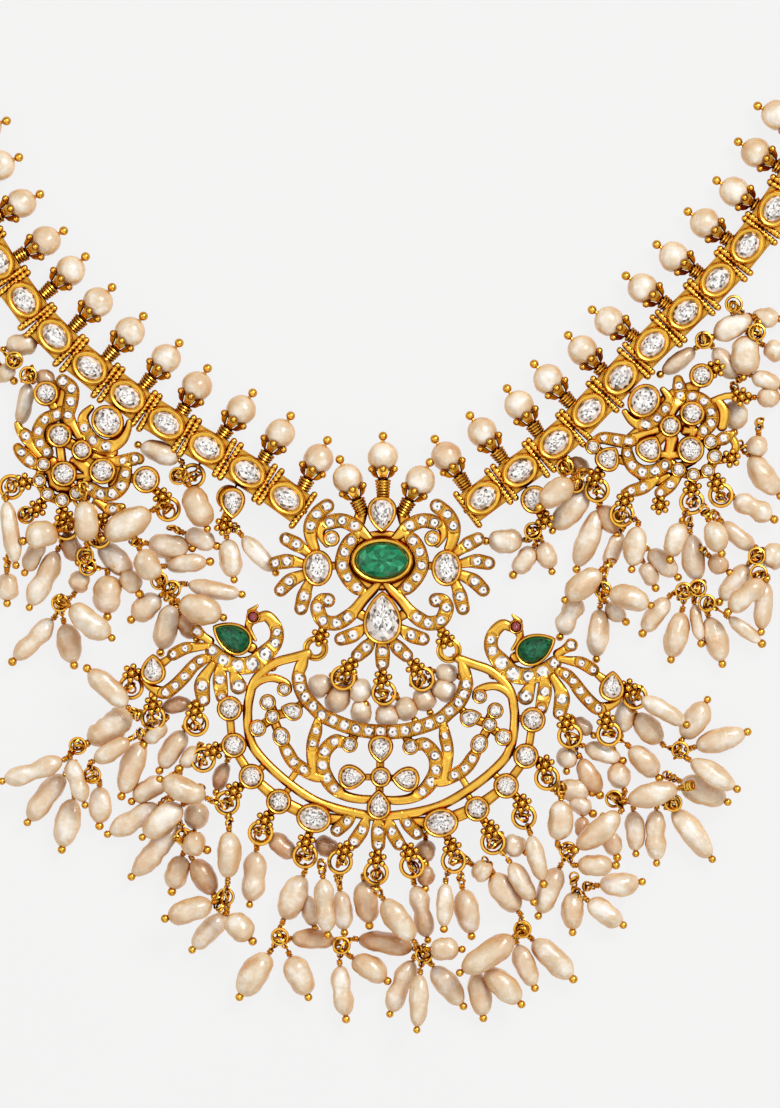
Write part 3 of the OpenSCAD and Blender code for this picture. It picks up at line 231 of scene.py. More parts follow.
def metal(name, deep, middle, light, rough):
    """Plated metal: open faces keep the light colour and corners that are closed in fall to middle and
    deep, painted shade together with the darker antique finish of the hollows; painted shade also
    darkens the upright walls. Patches of a millimetre vary the tone and a finer grain breaks the gloss."""
    material, tree, shader = surface(name)
    patch, grain = noise(tree, 700.0, 3.0), noise(tree, 5200.0, 2.0)
    # painted shade with the antique finish: the occlusion darkens corners that are closed in
    open_to = add(tree, "ShaderNodeAmbientOcclusion", {"samples": 6, "Distance": 0.0009}).outputs["AO"]
    shade = ramp(tree, open_to, [(0.2, deep), (0.47, middle), (0.75, light)])
    vary = ramp(tree, patch, [(0.3, (0.82, 0.76, 0.68)), (0.65, (1, 1, 1))])
    # painted shade: upright walls turn darker and browner than level faces
    painted_side_shade = by_slope(tree, [(0.05, (0.18, 0.05, 0.006)), (0.35, (0.62, 0.34, 0.14)), (0.66, (1, 1, 1))])
    worn = add(tree, "ShaderNodeMapRange", {3: rough - 0.07, 4: rough + 0.1}, {0: patch}).outputs[0]
    bump = add(tree, "ShaderNodeBump", {"Strength": 0.25, "Distance": 0.00003}, {"Height": grain})
    fill(tree, shader, {"Metallic": 1.0, "Specular Tint": (0.85, 0.4, 0.08, 1)},
         {"Base Color": times(tree, times(tree, shade, vary), painted_side_shade), "Roughness": worn,
          "Normal": bump.outputs[0]})
    return material


def stone(name, stops, ior, rough=0.05, coat=0.6):
    """Cut stone: each facet has a tone that picks its colour, from dark to light, a painted reflection
    under a clear gloss.
    """
    material, tree, shader = surface(name)
    fill(tree, shader, {"Roughness": rough, "IOR": ior, "Coat Weight": coat, "Coat Roughness": 0.02},
         {"Base Color": ramp(tree, clouded(tree, noise(tree, 2600.0, 2.0), 0.34), stops)})
    return material


def gilt(name, parts, *nodes, sharp=0.7):
    """One object of old gold."""
    make(name, parts, old_gold, "gold", *nodes, sharp=sharp)


def gems(name, parts, *nodes):
    """One object of clear stones with flat facets."""
    make(name, parts, clear_cut, "clear_stone", *nodes, flat=True)


# deep and middle colour the recesses, painted shade together with the antique finish; light is the open
# gold
old_gold = metal("old_gold", (0.11, 0.016, 0.001), (0.68, 0.22, 0.012), (1.0, 0.6, 0.09), 0.23)
# facet colours from near black to white, and from near black to light green, are painted reflections
clear_cut = stone("clear_cut", [(0.0, (0.05, 0.045, 0.04)), (0.3, (0.32, 0.3, 0.29)),
                                (0.6, (0.62, 0.6, 0.59)), (0.88, (0.97, 0.97, 0.97))], 2.1)
green_cut = stone("green_cut", [(0.0, (0.0, 0.03, 0.014)), (0.35, (0.0, 0.13, 0.05)),
                                (0.7, (0.01, 0.33, 0.15)), (1.0, (0.18, 0.62, 0.4))], 1.5, 0.1, 0.1)


def at(xy, z=None):
    """Square x, y of the drawing to millimetres, with a height if one is given."""
    xy = np.asarray(xy, float)
    p = np.stack([(xy[..., 0] - MIDDLE_X) / SQUARE, (MIDDLE_Y - xy[..., 1]) / SQUARE], -1)
    if z is None:
        return p
    z = np.broadcast_to(np.asarray(z, float)[..., None], p.shape[:-1] + (1,))
    return np.concatenate([p, z], -1)


def shells(p, wrap_rows=False, wrap_cols=True):
    """Closed surfaces from an array piece, row, column, xyz. The signed volume of the first one,
    the sum of a.(b x c) over its triangles, tells whether its faces must be turned outwards."""
    m, r, c = p.shape[:3]
    f = grid(r, c, wrap_rows, wrap_cols)
    a, b, g, h = (p[0].reshape(-1, 3)[f[:, k]] for k in range(4))
    if np.sum(a * np.cross(b, g)) + np.sum(a * np.cross(g, h)) < 0:
        f = f[:, ::-1]
    return p.reshape(-1, 3), (f + np.arange(m)[:, None, None] * r * c).reshape(-1, 4)


def unit(v):
    """Vectors of length one."""
    return v / np.maximum(np.linalg.norm(v, axis=-1, keepdims=True), 1e-9)


def curve(rows, k=6):
    """Catmull-Rom curve through the rows, k steps from row to row, all columns carried along."""
    r = np.asarray(rows, float)
    p, m = np.vstack([r[:1], r, r[-1:]]), len(r) - 1
    t = np.linspace(0, 1, k, endpoint=False)[None, :, None]
    a, b, c, d = (p[i:i + m, None] for i in range(4))
    s = 0.5 * (2 * b + (c - a) * t + (2 * a - 5 * b + 4 * c - d) * t ** 2
               + (3 * b - a - 3 * c + d) * t ** 3)
    return np.vstack([s.reshape(-1, r.shape[1]), r[-1:]])


def run_along(p):
    """Distance run at each of the points p from the first one."""
    return np.concatenate([[0], np.cumsum(np.linalg.norm(np.diff(p, axis=0), axis=1))])


CELL = 11  # squares: a strip's rows at least this wide hold a stone


def outline(xy):
    """Once round a middle line: up its left side, round the far end, back on the right side and
    round the near end. Returns the row of the line that each point belongs to, and its level
    direction outwards."""
    along = unit(np.gradient(xy, axis=0))
    left = np.stack([-along[:, 1], along[:, 0]], -1)
    a = np.linspace(0, np.pi, 9)[1:-1, None]
    up, end = np.arange(len(xy)), np.zeros(len(a), int)
    out = np.vstack([left, np.cos(a) * left[-1] + np.sin(a) * along[-1], -left[::-1],
                     -np.cos(a) * left[0] - np.sin(a) * along[0]])
    return np.concatenate([up, end + len(xy) - 1, up[::-1], end]), out


def profile(r, sunk, foot, lift):
    """Nine points from the foot to the middle, as distance inwards and height, for half widths r:
    a low dome, or where sunk is 1 an edge, a rim and the floor of a cell."""
    f = np.array([0.06, 0.18, 0.36, 0.6, 0.8])
    rise = np.minimum(0.42, 0.75 * r)
    dome = np.hstack([r, r * 0, r * 0, r * f, r])
    dome_z = np.hstack([r * 0 + foot, r * 0 + foot, EDGE - rise,
                        EDGE - rise + rise * np.sqrt(1 - (1 - f) ** 2), r * 0 + EDGE])
    cell = np.hstack([r, r * 0 + [[0, 0, 0.05, 0.13, 0.21, 0.25, 0.26]], r])
    cell_z = r * 0 + np.array([[foot, foot, EDGE - 0.22, EDGE - 0.06, EDGE, EDGE - 0.05, EDGE - 0.15,
                                EDGE - 0.26, EDGE - 0.26]])
    inwards = np.minimum(dome + (cell - dome) * sunk, r)
    return inwards, dome_z + (cell_z - dome_z) * sunk + lift * np.array([0, 0, 1, 1, 1, 1, 1, 1, 1])


def ribbon(rows, lift=0.0, k=6, foot=PLATE):
    """Strip along rows of x, y, width, its profile carried once round the outline. Returns the
    strip with its cross bars, and its stones as rows of x, y, radius, rim height."""
    rows = np.asarray(rows, float)
    cells = np.flatnonzero(rows[:, 2] >= CELL) * k
    # strips come out wider than their rows say, those without stones most
    s = curve(rows * [1, 1, 1.15 if len(cells) else 1.4], k)
    xy, half = at(s[:, :2]), s[:, 2] / 2 / SQUARE
    i, out = outline(xy)
    length = run_along(xy)
    far = np.abs(length[:, None] - length[cells]).min(1) if len(cells) else length + 9
    # sunk up to 0.78 from the middle of a stone, a dome from 0.98 on
    sunk = np.clip((0.98 - far) / 0.2, 0, 1)
    r = half[i][:, None]
    inwards, z = profile(r, sunk[i][:, None], foot, lift)
    p = np.concatenate([xy[i][:, None] + out[:, None] * (r - inwards)[..., None], z[..., None]], -1)
    parts = [shells(p[None], True, False)]
    # a bar across between two neighbouring stones
    between = [(u + v) // 2 for u, v in zip(cells[:-1], cells[1:]) if v - u == k]
    if between:
        w = out[between] * (half[between][:, None] - 0.2)
        z = np.full((len(w), 1), EDGE + lift - 0.11)
        parts.append(rods(np.hstack([xy[between] - w, z]), np.hstack([xy[between] + w, z]), 0.1, 6))
    r = half[cells][:, None]
    return parts, np.hstack([xy[cells], r - 0.31, r * 0 + EDGE + lift + 0.06])


def facing(d):
    """Turns whose third column is the direction d and whose first is level."""
    d = unit(np.asarray(d, float))
    up = np.where(np.abs(d[..., 2:]) > 0.95, [1.0, 0, 0], [0, 0, 1.0])
    x = unit(np.cross(up, d))
    return np.stack([x, np.cross(d, x), d], -1)


def rods(a, b, r, n=8):
    """Round bars from points a to points b: a ring of n points at each end, closed to its middle."""
    a, b = np.atleast_2d(a), np.atleast_2d(b)
    t = np.linspace(0, 2 * np.pi, n, endpoint=False)
    ring = np.einsum("mij,nj->mni", facing(b - a), np.stack([np.cos(t), np.sin(t), 0 * t], -1)) * r
    a, b = a[:, None], b[:, None]
    return shells(np.stack([a + ring * 0, a + ring, b + ring, b + ring * 0], 1))


def balls(c, r, n=10, m=6, flat=1.0):
    """Spheres: the sine and cosine of two angles times the radius, squeezed in height by flat."""
    c = np.atleast_2d(c)
    t, q = np.linspace(0, 2 * np.pi, n, endpoint=False), np.linspace(0, np.pi, m + 1)[:, None]
    s = np.stack([np.sin(q) * np.cos(t), np.sin(q) * np.sin(t), np.cos(q) * flat + 0 * t], -1)
    return shells(c[:, None, None] + s[None] * np.broadcast_to(r, len(c))[:, None, None, None])


def hoops(c, r, wire, axis=(0, 0, 1), n=24, m=7):
    """Rings of round wire: a circle of radius wire carried round one of radius r, turned to axis."""
    c = np.atleast_2d(c)
    t = np.linspace(0, 2 * np.pi, n, endpoint=False)[:, None]
    q = np.linspace(0, 2 * np.pi, m, endpoint=False)
    r, wire = (np.broadcast_to(x, len(c))[:, None, None, None] for x in (r, wire))
    flat = np.stack([np.cos(t) + 0 * q, np.sin(t) + 0 * q, 0 * t + 0 * q], -1)
    tube = np.stack([np.cos(t) * np.cos(q), np.sin(t) * np.cos(q), 0 * t + np.sin(q)], -1)
    turn = np.broadcast_to(facing(np.atleast_2d(axis)), (len(c), 3, 3))
    ring = np.einsum("mij,mabj->mabi", turn, flat[None] * r + tube[None] * wire)
    return shells(c[:, None, None] + ring, True)


def shape(kind, w, h, t):
    """Outline of a stone at angles t: an ellipse for kind 0, a pear with its point up for kind 1."""
    oval = np.stack([w / 2 * np.cos(t), h / 2 * np.sin(t)], -1)
    pear = np.stack([-w / 2 * np.sin(t) * np.abs(np.sin(t / 2)) ** 0.6 / 0.845, h / 2 * np.cos(t)], -1)
    return pear if kind else oval


def turned(p, degrees):
    """Points of a plan turned about the origin."""
    a = np.radians(degrees)
    return p @ np.array([[np.cos(a), np.sin(a)], [-np.sin(a), np.cos(a)]])


def whole(seat):
    """Seat row of x, y, width, height, turn and kind from one that leaves out what a round or a
    level stone doesn't need."""
    return list(seat) + [seat[2], 0, 0][len(seat) - 3:]


def collar(seat, foot=PLATE, top=COLLAR, wall=0.46):
    """Setting for a stone from a seat row. A rounded lip is carried round the outline of the stone
    and closed below and over the seat."""
    x, y, w, h, turn, kind = whole(seat)
    n = 48
    t = np.linspace(0, 2 * np.pi, n, endpoint=False)
    e = turned(shape(kind, w / SQUARE, h / SQUARE, t), turn)
    d = unit(np.roll(e, -1, 0) - np.roll(e, 1, 0))
    out = np.stack([-d[:, 1], d[:, 0]], -1) * np.sign(np.sum(np.cross(e, np.roll(e, -1, 0))))
    o = np.array([0, -0.05, -0.04, 0.08 * wall, 0.3 * wall, 0.55 * wall, 0.8 * wall, wall])
    z = np.array([foot, foot + 0.1, top - 0.45, top - 0.12, top, top - 0.02, top - 0.12, top - 0.32])
    ring = e[:, None] + out[:, None] * o[None, :, None]
    ring = np.concatenate([e[:, None] * 0, ring, e[:, None] * 0], 1)
    z = np.concatenate([[foot], z, [top - 0.32]])
    p = np.concatenate([ring + at((x, y)), np.broadcast_to(z[None, :, None], (n, len(z), 1))], -1)
    return shells(p[None], True, False)


def cut(seat, bottom=4.97, girdle=5.6, top=6.25, n=16, inset=0.42, pattern=None,
        size=(0, 1, 1, 0.82, 0.62, 0.44, 0.24, 0)):
    """Faceted stone for a seat row. Rings of its outline shrink towards the middle, every other
    ring turned by half a step, and join in triangles; the rings inside 0.7 lie in the table."""
    x, y, w, h, turn, kind = whole(seat)
    w, h = w / SQUARE - 2 * inset, h / SQUARE - 2 * inset
    high = np.array([bottom, girdle - 0.06, girdle, girdle * 0.45 + top * 0.55, top, top, top, top])
    t = np.linspace(0, 2 * np.pi, n, endpoint=False)
    rings = []
    for k, (s, z) in enumerate(zip(size, high)):
        e = turned(shape(kind, w * s, h * s, t + (k % 2) * np.pi / n), turn) + at((x, y))
        # the table isn't quite even, so that its facets differ
        uneven = chance.uniform(-0.015, 0.015, n) if 4 <= k < 7 else np.zeros(n)
        rings.append(np.column_stack([e, z + uneven]))
    v = np.vstack(rings)
    i = np.arange(n)
    j = (i + 1) % n
    faces = []
    for k in range(len(size) - 1):
        low, low_next, high, high_next = k * n + i, k * n + j, (k + 1) * n + i, (k + 1) * n + j
        apex, start = (low_next, high) if k % 2 == 0 else (high_next, low)
        faces += [np.stack([low, apex, high, high], 1),
                  np.stack([start, low_next, high_next, high_next], 1)]
    f = np.concatenate(faces)
    # painted reflections: each facet's tone, drawn at random unless a pattern gives it, makes it dark or
    # light
    if pattern is None:
        tone = chance.choice([0.05, 0.3, 0.5, 0.68, 0.85, 1.0, 1.0], len(f),
                             p=[.1, .13, .15, .14, .16, .16, .16])
    else:
        tone = pattern(v[f].mean(1) - np.append(at((x, y)), 0), len(f))
    return v, f, tone


def pave(g):
    """Small round stones from rows x, y, radius, rim height: girdle, crown and table of eight,
    with a painted dark reflection off the middle of the table and painted reflections on the rest."""
    m, n = len(g), 8
    t = np.linspace(0, 2 * np.pi, n, endpoint=False)
    size, high = np.array([0, 1, 1, 0.7, 0.24, 0]), np.array([-0.4, -0.34, -0.26, -0.09, -0.08, -0.08])
    spin = (chance.uniform(0, np.pi, m)[:, None, None] + t
            + (np.arange(6) % 2)[None, :, None] * np.pi / n)
    p = np.stack([np.cos(spin), np.sin(spin)], -1) * size[None, :, None, None] * g[:, 2, None, None, None]
    slip = chance.uniform(-0.12, 0.12, (m, 1, 1, 2)) * (size < 0.3)[None, :, None, None] * 0.8
    p = np.concatenate([p + slip + g[:, None, None, :2],
                        np.broadcast_to((g[:, 3, None] + high)[:, :, None, None], (m, 6, n, 1))], -1)
    v, f = shells(p)
    # painted shade and reflections by ring: dark below, middling girdle, then chance for crown, table edge
    # and point
    row = np.tile(np.repeat(np.arange(5), n), m)
    tone = np.choose(row, [0.2, 0.4, 0, 0, 0]).astype(float)
    tone[row == 2] = chance.choice([0.05, 0.3, 0.75, 1.0], (row == 2).sum())
    tone[row == 3] = chance.choice([0.8, 1.0, 1.0], (row == 3).sum())
    tone[row == 4] = np.repeat(chance.choice([0.1, 0.3, 0.6], m), n)
    return v, f, tone


def flowers(spots, z=5.0, r=0.44):
    """Granule flowers: six balls round a higher one."""
    c = at(np.atleast_2d(spots), z)
    a = np.linspace(0, 2 * np.pi, 6, endpoint=False) + 0.3
    ring = c[:, None] + np.stack([np.cos(a) * 0.86, np.sin(a) * 0.86, a * 0 - 0.12], -1)
    return [balls(ring.reshape(-1, 3), r, 8, 5), balls(c + [0, 0, 0.25], r * 1.1, 8, 5),
            rods(c - [0, 0, 1.2], c - [0, 0, 0.05], 0.75, 12)]


def across(parts, tilt=0.0, mid=(0.0, 0.0)):
    """The same parts seen in a mirror that stands on a line through mid, tilt degrees from the
    upright: turned back, x changed in sign, turned again, and the faces reversed."""
    a = np.radians(tilt)
    r = np.array([[np.cos(a), -np.sin(a)], [np.sin(a), np.cos(a)]])
    m = r @ np.diag([-1, 1]) @ r.T
    done = []
    for p in parts:
        v = p[0].copy()
        v[:, :2] = (v[:, :2] - mid) @ m.T + mid
        done.append((v, p[1][:, ::-1], *p[2:]))
    return done


def pose(parts, place, along):
    """Copies of parts with their y axis laid along a level direction, moved to each place."""
    place, along = np.atleast_2d(place), unit(np.atleast_2d(along))
    x = np.stack([along[:, 1], -along[:, 0]], -1)
    turn = np.stack([np.column_stack([x, 0 * x[:, 0]]), np.column_stack([along, 0 * x[:, 0]]),
                     np.tile([0.0, 0, 1], (len(x), 1))], -1)
    done = []
    for p in parts:
        v = np.einsum("mij,nj->mni", turn, p[0]) + place[:, None]
        f = p[1][None] + np.arange(len(place))[:, None, None] * len(p[0])
        done.append((v.reshape(-1, 3), f.reshape(-1, 4), *(np.tile(q, len(place)) for q in p[2:])))
    return done


def post():
    """Post for a round pearl whose middle is the origin, pointing along y: a tapering coil of
    wire, a cup of six petals (a radius by length, an angle that closes at the tip) with a bead on
    each, and a pin with a ball."""
    turns = 6
    y = np.linspace(-4.85, -3.0, turns)
    c = np.stack([y * 0, y, y * 0], -1)
    coil = hoops(c, np.linspace(0.66, 0.86, turns), 0.16, (0, 1, 0.1), 20, 6)
    stem, pin = rods([0, -5.1, 0], [0, -2.5, 0], 0.36, 8), rods([0, -2.4, 0], [0, 2.5, 0], 0.2, 8)
    parts = [coil, stem, pin, hoops([0, -2.66, 0], 0.5, 0.2, (0, 1, 0), 20, 6),
             balls([0, 2.6, 0], 0.57, 14, 9)]
    # a petal: v from its foot to its tip, u across its outer face and back across the inner one
    v = np.sin(np.linspace(0, np.pi / 2, 9))[:, None]
    u = np.concatenate([np.linspace(-1, 1, 7), np.linspace(1, -1, 7)])
    side = np.repeat([1.0, -1.0], 7)
    radius = np.interp(v, [0, 0.25, 0.6, 0.8, 1], [0.55, 1.15, 1.5, 1.64, 1.8])
    long = np.interp(v, [0, 0.25, 0.6, 0.8, 1], [-2.75, -2.42, -1.8, -1.5, -1.3])
    wide = 0.42 * np.sqrt(np.clip(1 - (v - 0.5) ** 2 / 0.5 ** 2, 0, 1)) ** 0.7
    edge = np.maximum(np.abs(u) ** 5, v ** 8)
    r = radius + side * (0.035 + 0.1 * edge) * np.where((v == 0) | (v == 1), 0, 1)
    round_cup = np.pi * (np.arange(6) + 0.5) / 3
    for middle in round_cup:
        a = wide * u + middle
        p = np.stack([r * np.cos(a), long + 0 * a, r * np.sin(a)], -1)
        p[[0, -1]] = p[[0, -1]].mean(1, keepdims=True)
        parts.append(shells(p[None]))
    # a bead on each petal, a little lower than round so that it clears the table
    x, z = 1.66 * np.cos(round_cup), 1.58 * np.sin(round_cup)
    parts.append(balls(np.stack([x, 0 * x - 1.5, z], -1), 0.44, 12, 8))
    return parts


def cluster_of(strips, lift=0.0, k=6):
    """Ribbons for a list of strips, and the places of their stones."""
    parts, places = [], []
    for s in strips:
        p, g = ribbon(s, lift, k)
        parts += p
        places.append(g)
    return parts, np.vstack(places)


def gems_across(g, tilt=0.0, mid=(0.0, 0.0)):
    """Rows of small stones and the same rows mirrored as the gold is."""
    other = across([(np.column_stack([g[:, :2], g[:, 0] * 0]), np.zeros((0, 4), int))], tilt, mid)[0][0]
    return np.vstack([g, np.column_stack([other[:, :2], g[:, 2:]])])


def eye(c, u, z):
    """Upright eyes of wire on the near side of rings round points c, for level directions u."""
    e = np.column_stack([c - u * RING, np.full(len(c), z)])
    return e, hoops(e, 0.58, 0.16, np.column_stack([-u[:, 1], u[:, 0], 0 * u[:, 0]]), 18, 6)


def eyes(pairs, z):
    """Eyes with short stems for rows of flower x, y and ring x, y."""
    p = np.atleast_2d(pairs)
    c = at(p[:, 2:])
    e, wire = eye(c, unit(c - at(p[:, :2])), z)
    return [wire, rods(e + [0, 0, 0.5], e + [0, 0, 1.2], 0.22, 8)]


# Strips are rows of x, y, width. Seats are rows of x, y, width and, where they need it, height,
# turn and 1 for a pear. Hanging points are x, y of a flower and x, y of the ring.
half_strips = [
    [[327, 506, 13], [316.5, 514.4, 13], [310.8, 526, 13], [311, 538, 10.9], [315, 549, 9]],
    [[327, 545, 5], [321, 536, 7], [322, 528, 9], [329.6, 522.5, 13], [342, 520.7, 13],
     [354.5, 525.7, 13], [362, 532, 10.9], [369, 538.5, 8]],
    [[358, 534, 8], [351, 540.8, 13], [344.3, 552.3, 13], [342.4, 565.5, 13], [347.7, 577.6, 13],
     [357, 587.5, 13], [364, 592, 8]],
    [[378, 583, 7], [373, 590, 9], [364, 599, 10], [355, 610, 10.9], [347.1, 617.4, 13],
     [336.2, 623.1, 13], [323.2, 620.6, 13], [317.5, 607.8, 13], [321, 600, 10.9], [328, 600.2, 13]],
    [[309, 554, 8], [303, 549, 10], [296.4, 544.3, 13], [286, 539, 12]],
    [[304, 564, 8], [296, 562, 10], [286.9, 561.3, 13], [275.4, 563.2, 12]],
    [[306, 574, 9], [298, 577, 10.9], [289.4, 581.4, 13], [280.8, 590, 12]],
    [[309, 583, 9], [306, 590, 10.9], [304.1, 596.3, 13], [301, 608.5, 12]],
    [[364, 628, 8], [352.9, 635, 13], [341, 639, 12]],
    [[372, 640, 8], [366.3, 647.4, 13], [357.5, 655.5, 12]]]
STEM_LIFT = -0.25  # the short stems lie a little lower than the strips
head_gold, head_pave = cluster_of(half_strips)
head_gold += cluster_of([[[362, 511, 9], [359, 522, 9]], [[357, 656, 5], [349, 667, 5]],
                         [[325, 624, 7], [320, 636, 6]], [[328, 566, 6], [345, 565, 6]],
                         [[355, 611, 8], [372, 621, 7]]], STEM_LIFT)[0]
head_small = [331.5, 538.4, 16]
head_ovals = [317.5, 568, 30, 36]
head_gold += [collar(head_small, top=5.55), collar(head_ovals)]
head_gold += across(head_gold)
middle_gold, middle_pave = ribbon([[382, 640, 9], [382.5, 651.2, 13], [382.5, 664, 12]])
head_pave = np.vstack([gems_across(head_pave), middle_pave])
head_gold += middle_gold
head_gold += cluster_of([[[383, 494, 9], [383, 502, 9]],
                         [[382.5, 664, 6], [382.6, 679, 6]]], STEM_LIFT)[0]
emerald_seat, emerald_skirt = [382, 560.5, 62, 45], [382, 560.5, 75, 60]
crown_seat, drop_seat = [382, 514.4, 29, 36, 180, 1], [382.5, 617.8, 39, 53, 0, 1]
head_gold += [collar(emerald_seat, 0.0, 5.9, 0.62), collar(emerald_skirt, PLATE, 4.7, 1.1),
              collar(crown_seat), collar(drop_seat)]
head_hangs = [[349, 667, 343, 678], [382.6, 679, 384, 693], [415.2, 667.6, 422, 679]]
link_rings = [[320, 637, 315.5, 648.5], [445.2, 639.5, 449, 650.5]]
head_gold += flowers(np.array(head_hangs + link_rings)[:, :2]) + eyes(head_hangs + link_rings, RING_Z)
crown_spikes = [[383, 457], [348, 478.7], [420, 480.6]]
crown_angles = np.radians([90, 113, 61.3])
crown_ways = np.stack([np.cos(crown_angles), np.sin(crown_angles)], -1)
CROWN_Z = 4.35
head_gold += pose(post(), at(crown_spikes, CROWN_Z), crown_ways)
gilt("head_gold", head_gold, "centre_motif")


def star(p, n):
    """Tones of the green oval, painted reflections: a lighter star of six rays on a dark ground."""
    a, r = np.arctan2(p[:, 1] * 1.4, p[:, 0]), np.hypot(p[:, 0], p[:, 1] * 1.4)
    ray = np.cos(3 * a + 1.57) ** 4 * (r < 2.6)
    return np.clip(0.34 + 0.36 * ray + chance.uniform(-0.12, 0.12, n), 0, 1)


emerald = cut(emerald_seat, 2.2, 5.5, 6.3, 12, 0.54, star, (0, 1, 1, 0.88, 0.66, 0.4, 0.16, 0))
make("head_emerald", [emerald], green_cut, "green_stone", "emerald_oval", flat=True)
half_cuts = [cut(head_ovals), cut(head_small, 4.8, 5.35, 5.7, 12, 0.3)]
gems("head_stones", [cut(crown_seat), cut(drop_seat, top=6.35, n=20)] + half_cuts + across(half_cuts),
     "crown_pear_stone", "left_oval_stone", "right_oval_stone", "drop_pear_stone")
gems("head_pave", [pave(head_pave)])

# ---- Crescent with two peacocks
# Same casting and plating as the head piece, hung from it by two rings: a rail, a pave band, leaf
# scrolls and a peacock at each end, drawn for the left half and mirrored on a slightly tilted line.
# facet colours from near black to red are painted reflections
red_cut = stone("red_cut", [(0.0, (0.03, 0.0, 0.003)), (0.5, (0.14, 0.005, 0.02)),
                            (1.0, (0.42, 0.02, 0.07))], 1.7)
mirror = (-2.1, at((381.2, 714.4)))  # degrees of tilt, and a point of the line
SMALL = 20  # squares: stones narrower than this sit in low, thin collars
TIE_LIFT = -0.3  # ties lie lower than the strips that they join


def dull(p, n):
    """Tones of the peacocks' stones, painted reflections all on the dark side."""
    return chance.uniform(0.0, 0.45, n)


def collars(seats):
    """Collars for the wide seats of a list, then for its small ones."""
    return ([collar(s) for s in seats if s[2] >= SMALL]
            + [collar(s, top=5.5, wall=0.3) for s in seats if s[2] < SMALL])


def cuts(seats):
    """Stones for the wide seats of a list, then for its small ones."""
    return ([cut(s) for s in seats if s[2] >= SMALL]
            + [cut(s, 4.8, 5.3, 5.62, 10, 0.26) for s in seats if s[2] < SMALL])


rail = [
    [307.5, 653.5, 6], [292.4, 657.7, 6], [277, 662, 6], [263.7, 670.6, 6], [254, 682, 6],
    [249.4, 697.4, 6], [247.6, 712, 6], [249, 733.8, 6], [254, 748, 6], [266.6, 763.4, 6],
    [281, 776.8, 6], [294.3, 787.4, 6], [307.7, 796.6, 6], [321, 803.4, 6], [340.3, 809.6, 6],
    [360, 814, 6], [378.5, 817, 6]]
crescent_strips = [
    [[306, 655, 6], [302, 664, 10.9], [299, 672, 10.9], [298.9, 678.4, 13], [300.8, 687.9, 13],
     [305, 696.9, 13], [313.2, 706.1, 13], [321.8, 714.7, 13], [332.7, 720.4, 13], [344.4, 725.2, 13],
     [355.9, 728.7, 13], [368.7, 731, 13], [381.1, 731.9, 13]],
    [[349.6, 744.4, 9], [341, 741.5, 10.9], [334.3, 741.5, 12], [324.7, 751.6, 13], [322.4, 765.4, 13],
     [326.6, 777.8, 13], [334.3, 788.4, 12], [346, 796, 9], [360, 799, 8], [373, 799, 7]],
    [[318, 720, 7], [316.1, 731, 11], [312.7, 743.4, 11], [312, 757, 10], [313, 768, 8], [314, 776, 7]],
    [[281.3, 738, 9], [284, 745, 10], [287.4, 752, 12], [293.7, 762, 12], [303.7, 769.6, 12],
     [314, 776, 10], [323, 778, 8]],
    [[259, 618, 8], [266, 616, 10], [273, 622, 10.9], [277, 632, 12], [275, 643, 13], [265, 654, 16],
     [252.5, 664, 16], [237.5, 665.5, 15], [223.2, 660.3, 15], [212.4, 650.6, 13]],
    [[210, 641, 8], [203, 636, 8], [197, 631.4, 12]],
    [[208, 646, 6], [197, 647, 8], [185, 648.4, 11], [173, 654.5, 11]],
    [[208, 658, 8], [200, 661, 11], [192.5, 667, 11], [184.5, 676.4, 12], [175.5, 685.4, 12],
     [165.2, 692.5, 12], [156, 690, 9], [147, 684, 6], [144, 676, 4]],
    [[213, 664, 7], [205, 676, 10.9], [202, 686, 14], [203.5, 700, 12]],
    [[221, 666, 9], [220, 680, 13], [222, 697, 11]], [[232, 668, 6], [238.5, 686, 15]],
    [[354, 812, 7], [347, 821, 12], [337, 830, 12]], [[367, 817, 7], [362, 830, 12], [354, 842, 12]]]
plain_strips = [np.array(rail) * [1, 1, 1.15],
                [[251, 690, 5], [258, 682, 6], [268, 678, 6], [278, 679, 6], [287, 684, 6], [288, 690, 6]],
                [[250, 622, 7], [248.6, 629, 5], [255.3, 640, 2.4]], [[251, 612, 6], [257.3, 605.7, 2]]]
crescent_ties = [
    [[229.6, 708.6, 6], [233.9, 745.2, 6], [252.5, 775.5, 7], [280, 800, 9], [314.5, 816.5, 9],
     [345.5, 820, 8]],
    [[229.6, 708.6, 5], [249, 708, 5]], [[233.9, 745.2, 5], [252, 742, 5]],
    [[251.4, 776.4, 5], [266, 764, 5]], [[278.8, 801.4, 5], [291, 786, 5]],
    [[313.8, 818, 5], [319, 803, 5]], [[299, 768, 5], [289, 782, 5]], [[260, 655, 8], [272, 666, 8]],
    [[238, 686, 4], [252, 690, 4]], [[269, 702, 7], [273, 716, 7], [257.7, 728, 7], [250, 731, 6]],
    [[272, 716, 7], [281, 737, 7]], [[272, 716, 7], [291, 711, 7], [306, 700, 5]],
    [[231.8, 637, 10.8], [252, 648, 8]], [[153.2, 669.3, 9], [174, 655, 4]],
    [[352, 777, 5], [381, 777, 5]], [[322, 765, 6], [313, 766, 6]], [[350, 744, 7], [356, 731, 7]]]
peacock_seat, eye_seat = [231.8, 637.1, 31, 43, 59.5, 1], [253.3, 617, 14]
tail_seat, paisley_seat = [153.2, 669.3, 25, 30, 0, 1], [352.4, 776.9, 25, 28, -90, 1]
rim_seats = [
    [229.6, 708.6, 25], [233.9, 745.2, 25], [251.4, 776.4, 25], [278.8, 801.4, 25],
    [313.8, 818, 35, 29, -12, 0]]
small_seats = [
    [349.6, 744.4, 16], [267.7, 702.3, 16], [291.6, 710.9, 18, 22, 70, 1], [272.5, 716.6, 15],
    [257.7, 728.1, 17], [281.3, 736.7, 17, 20, 20, 0], [284.1, 689.3, 14]]
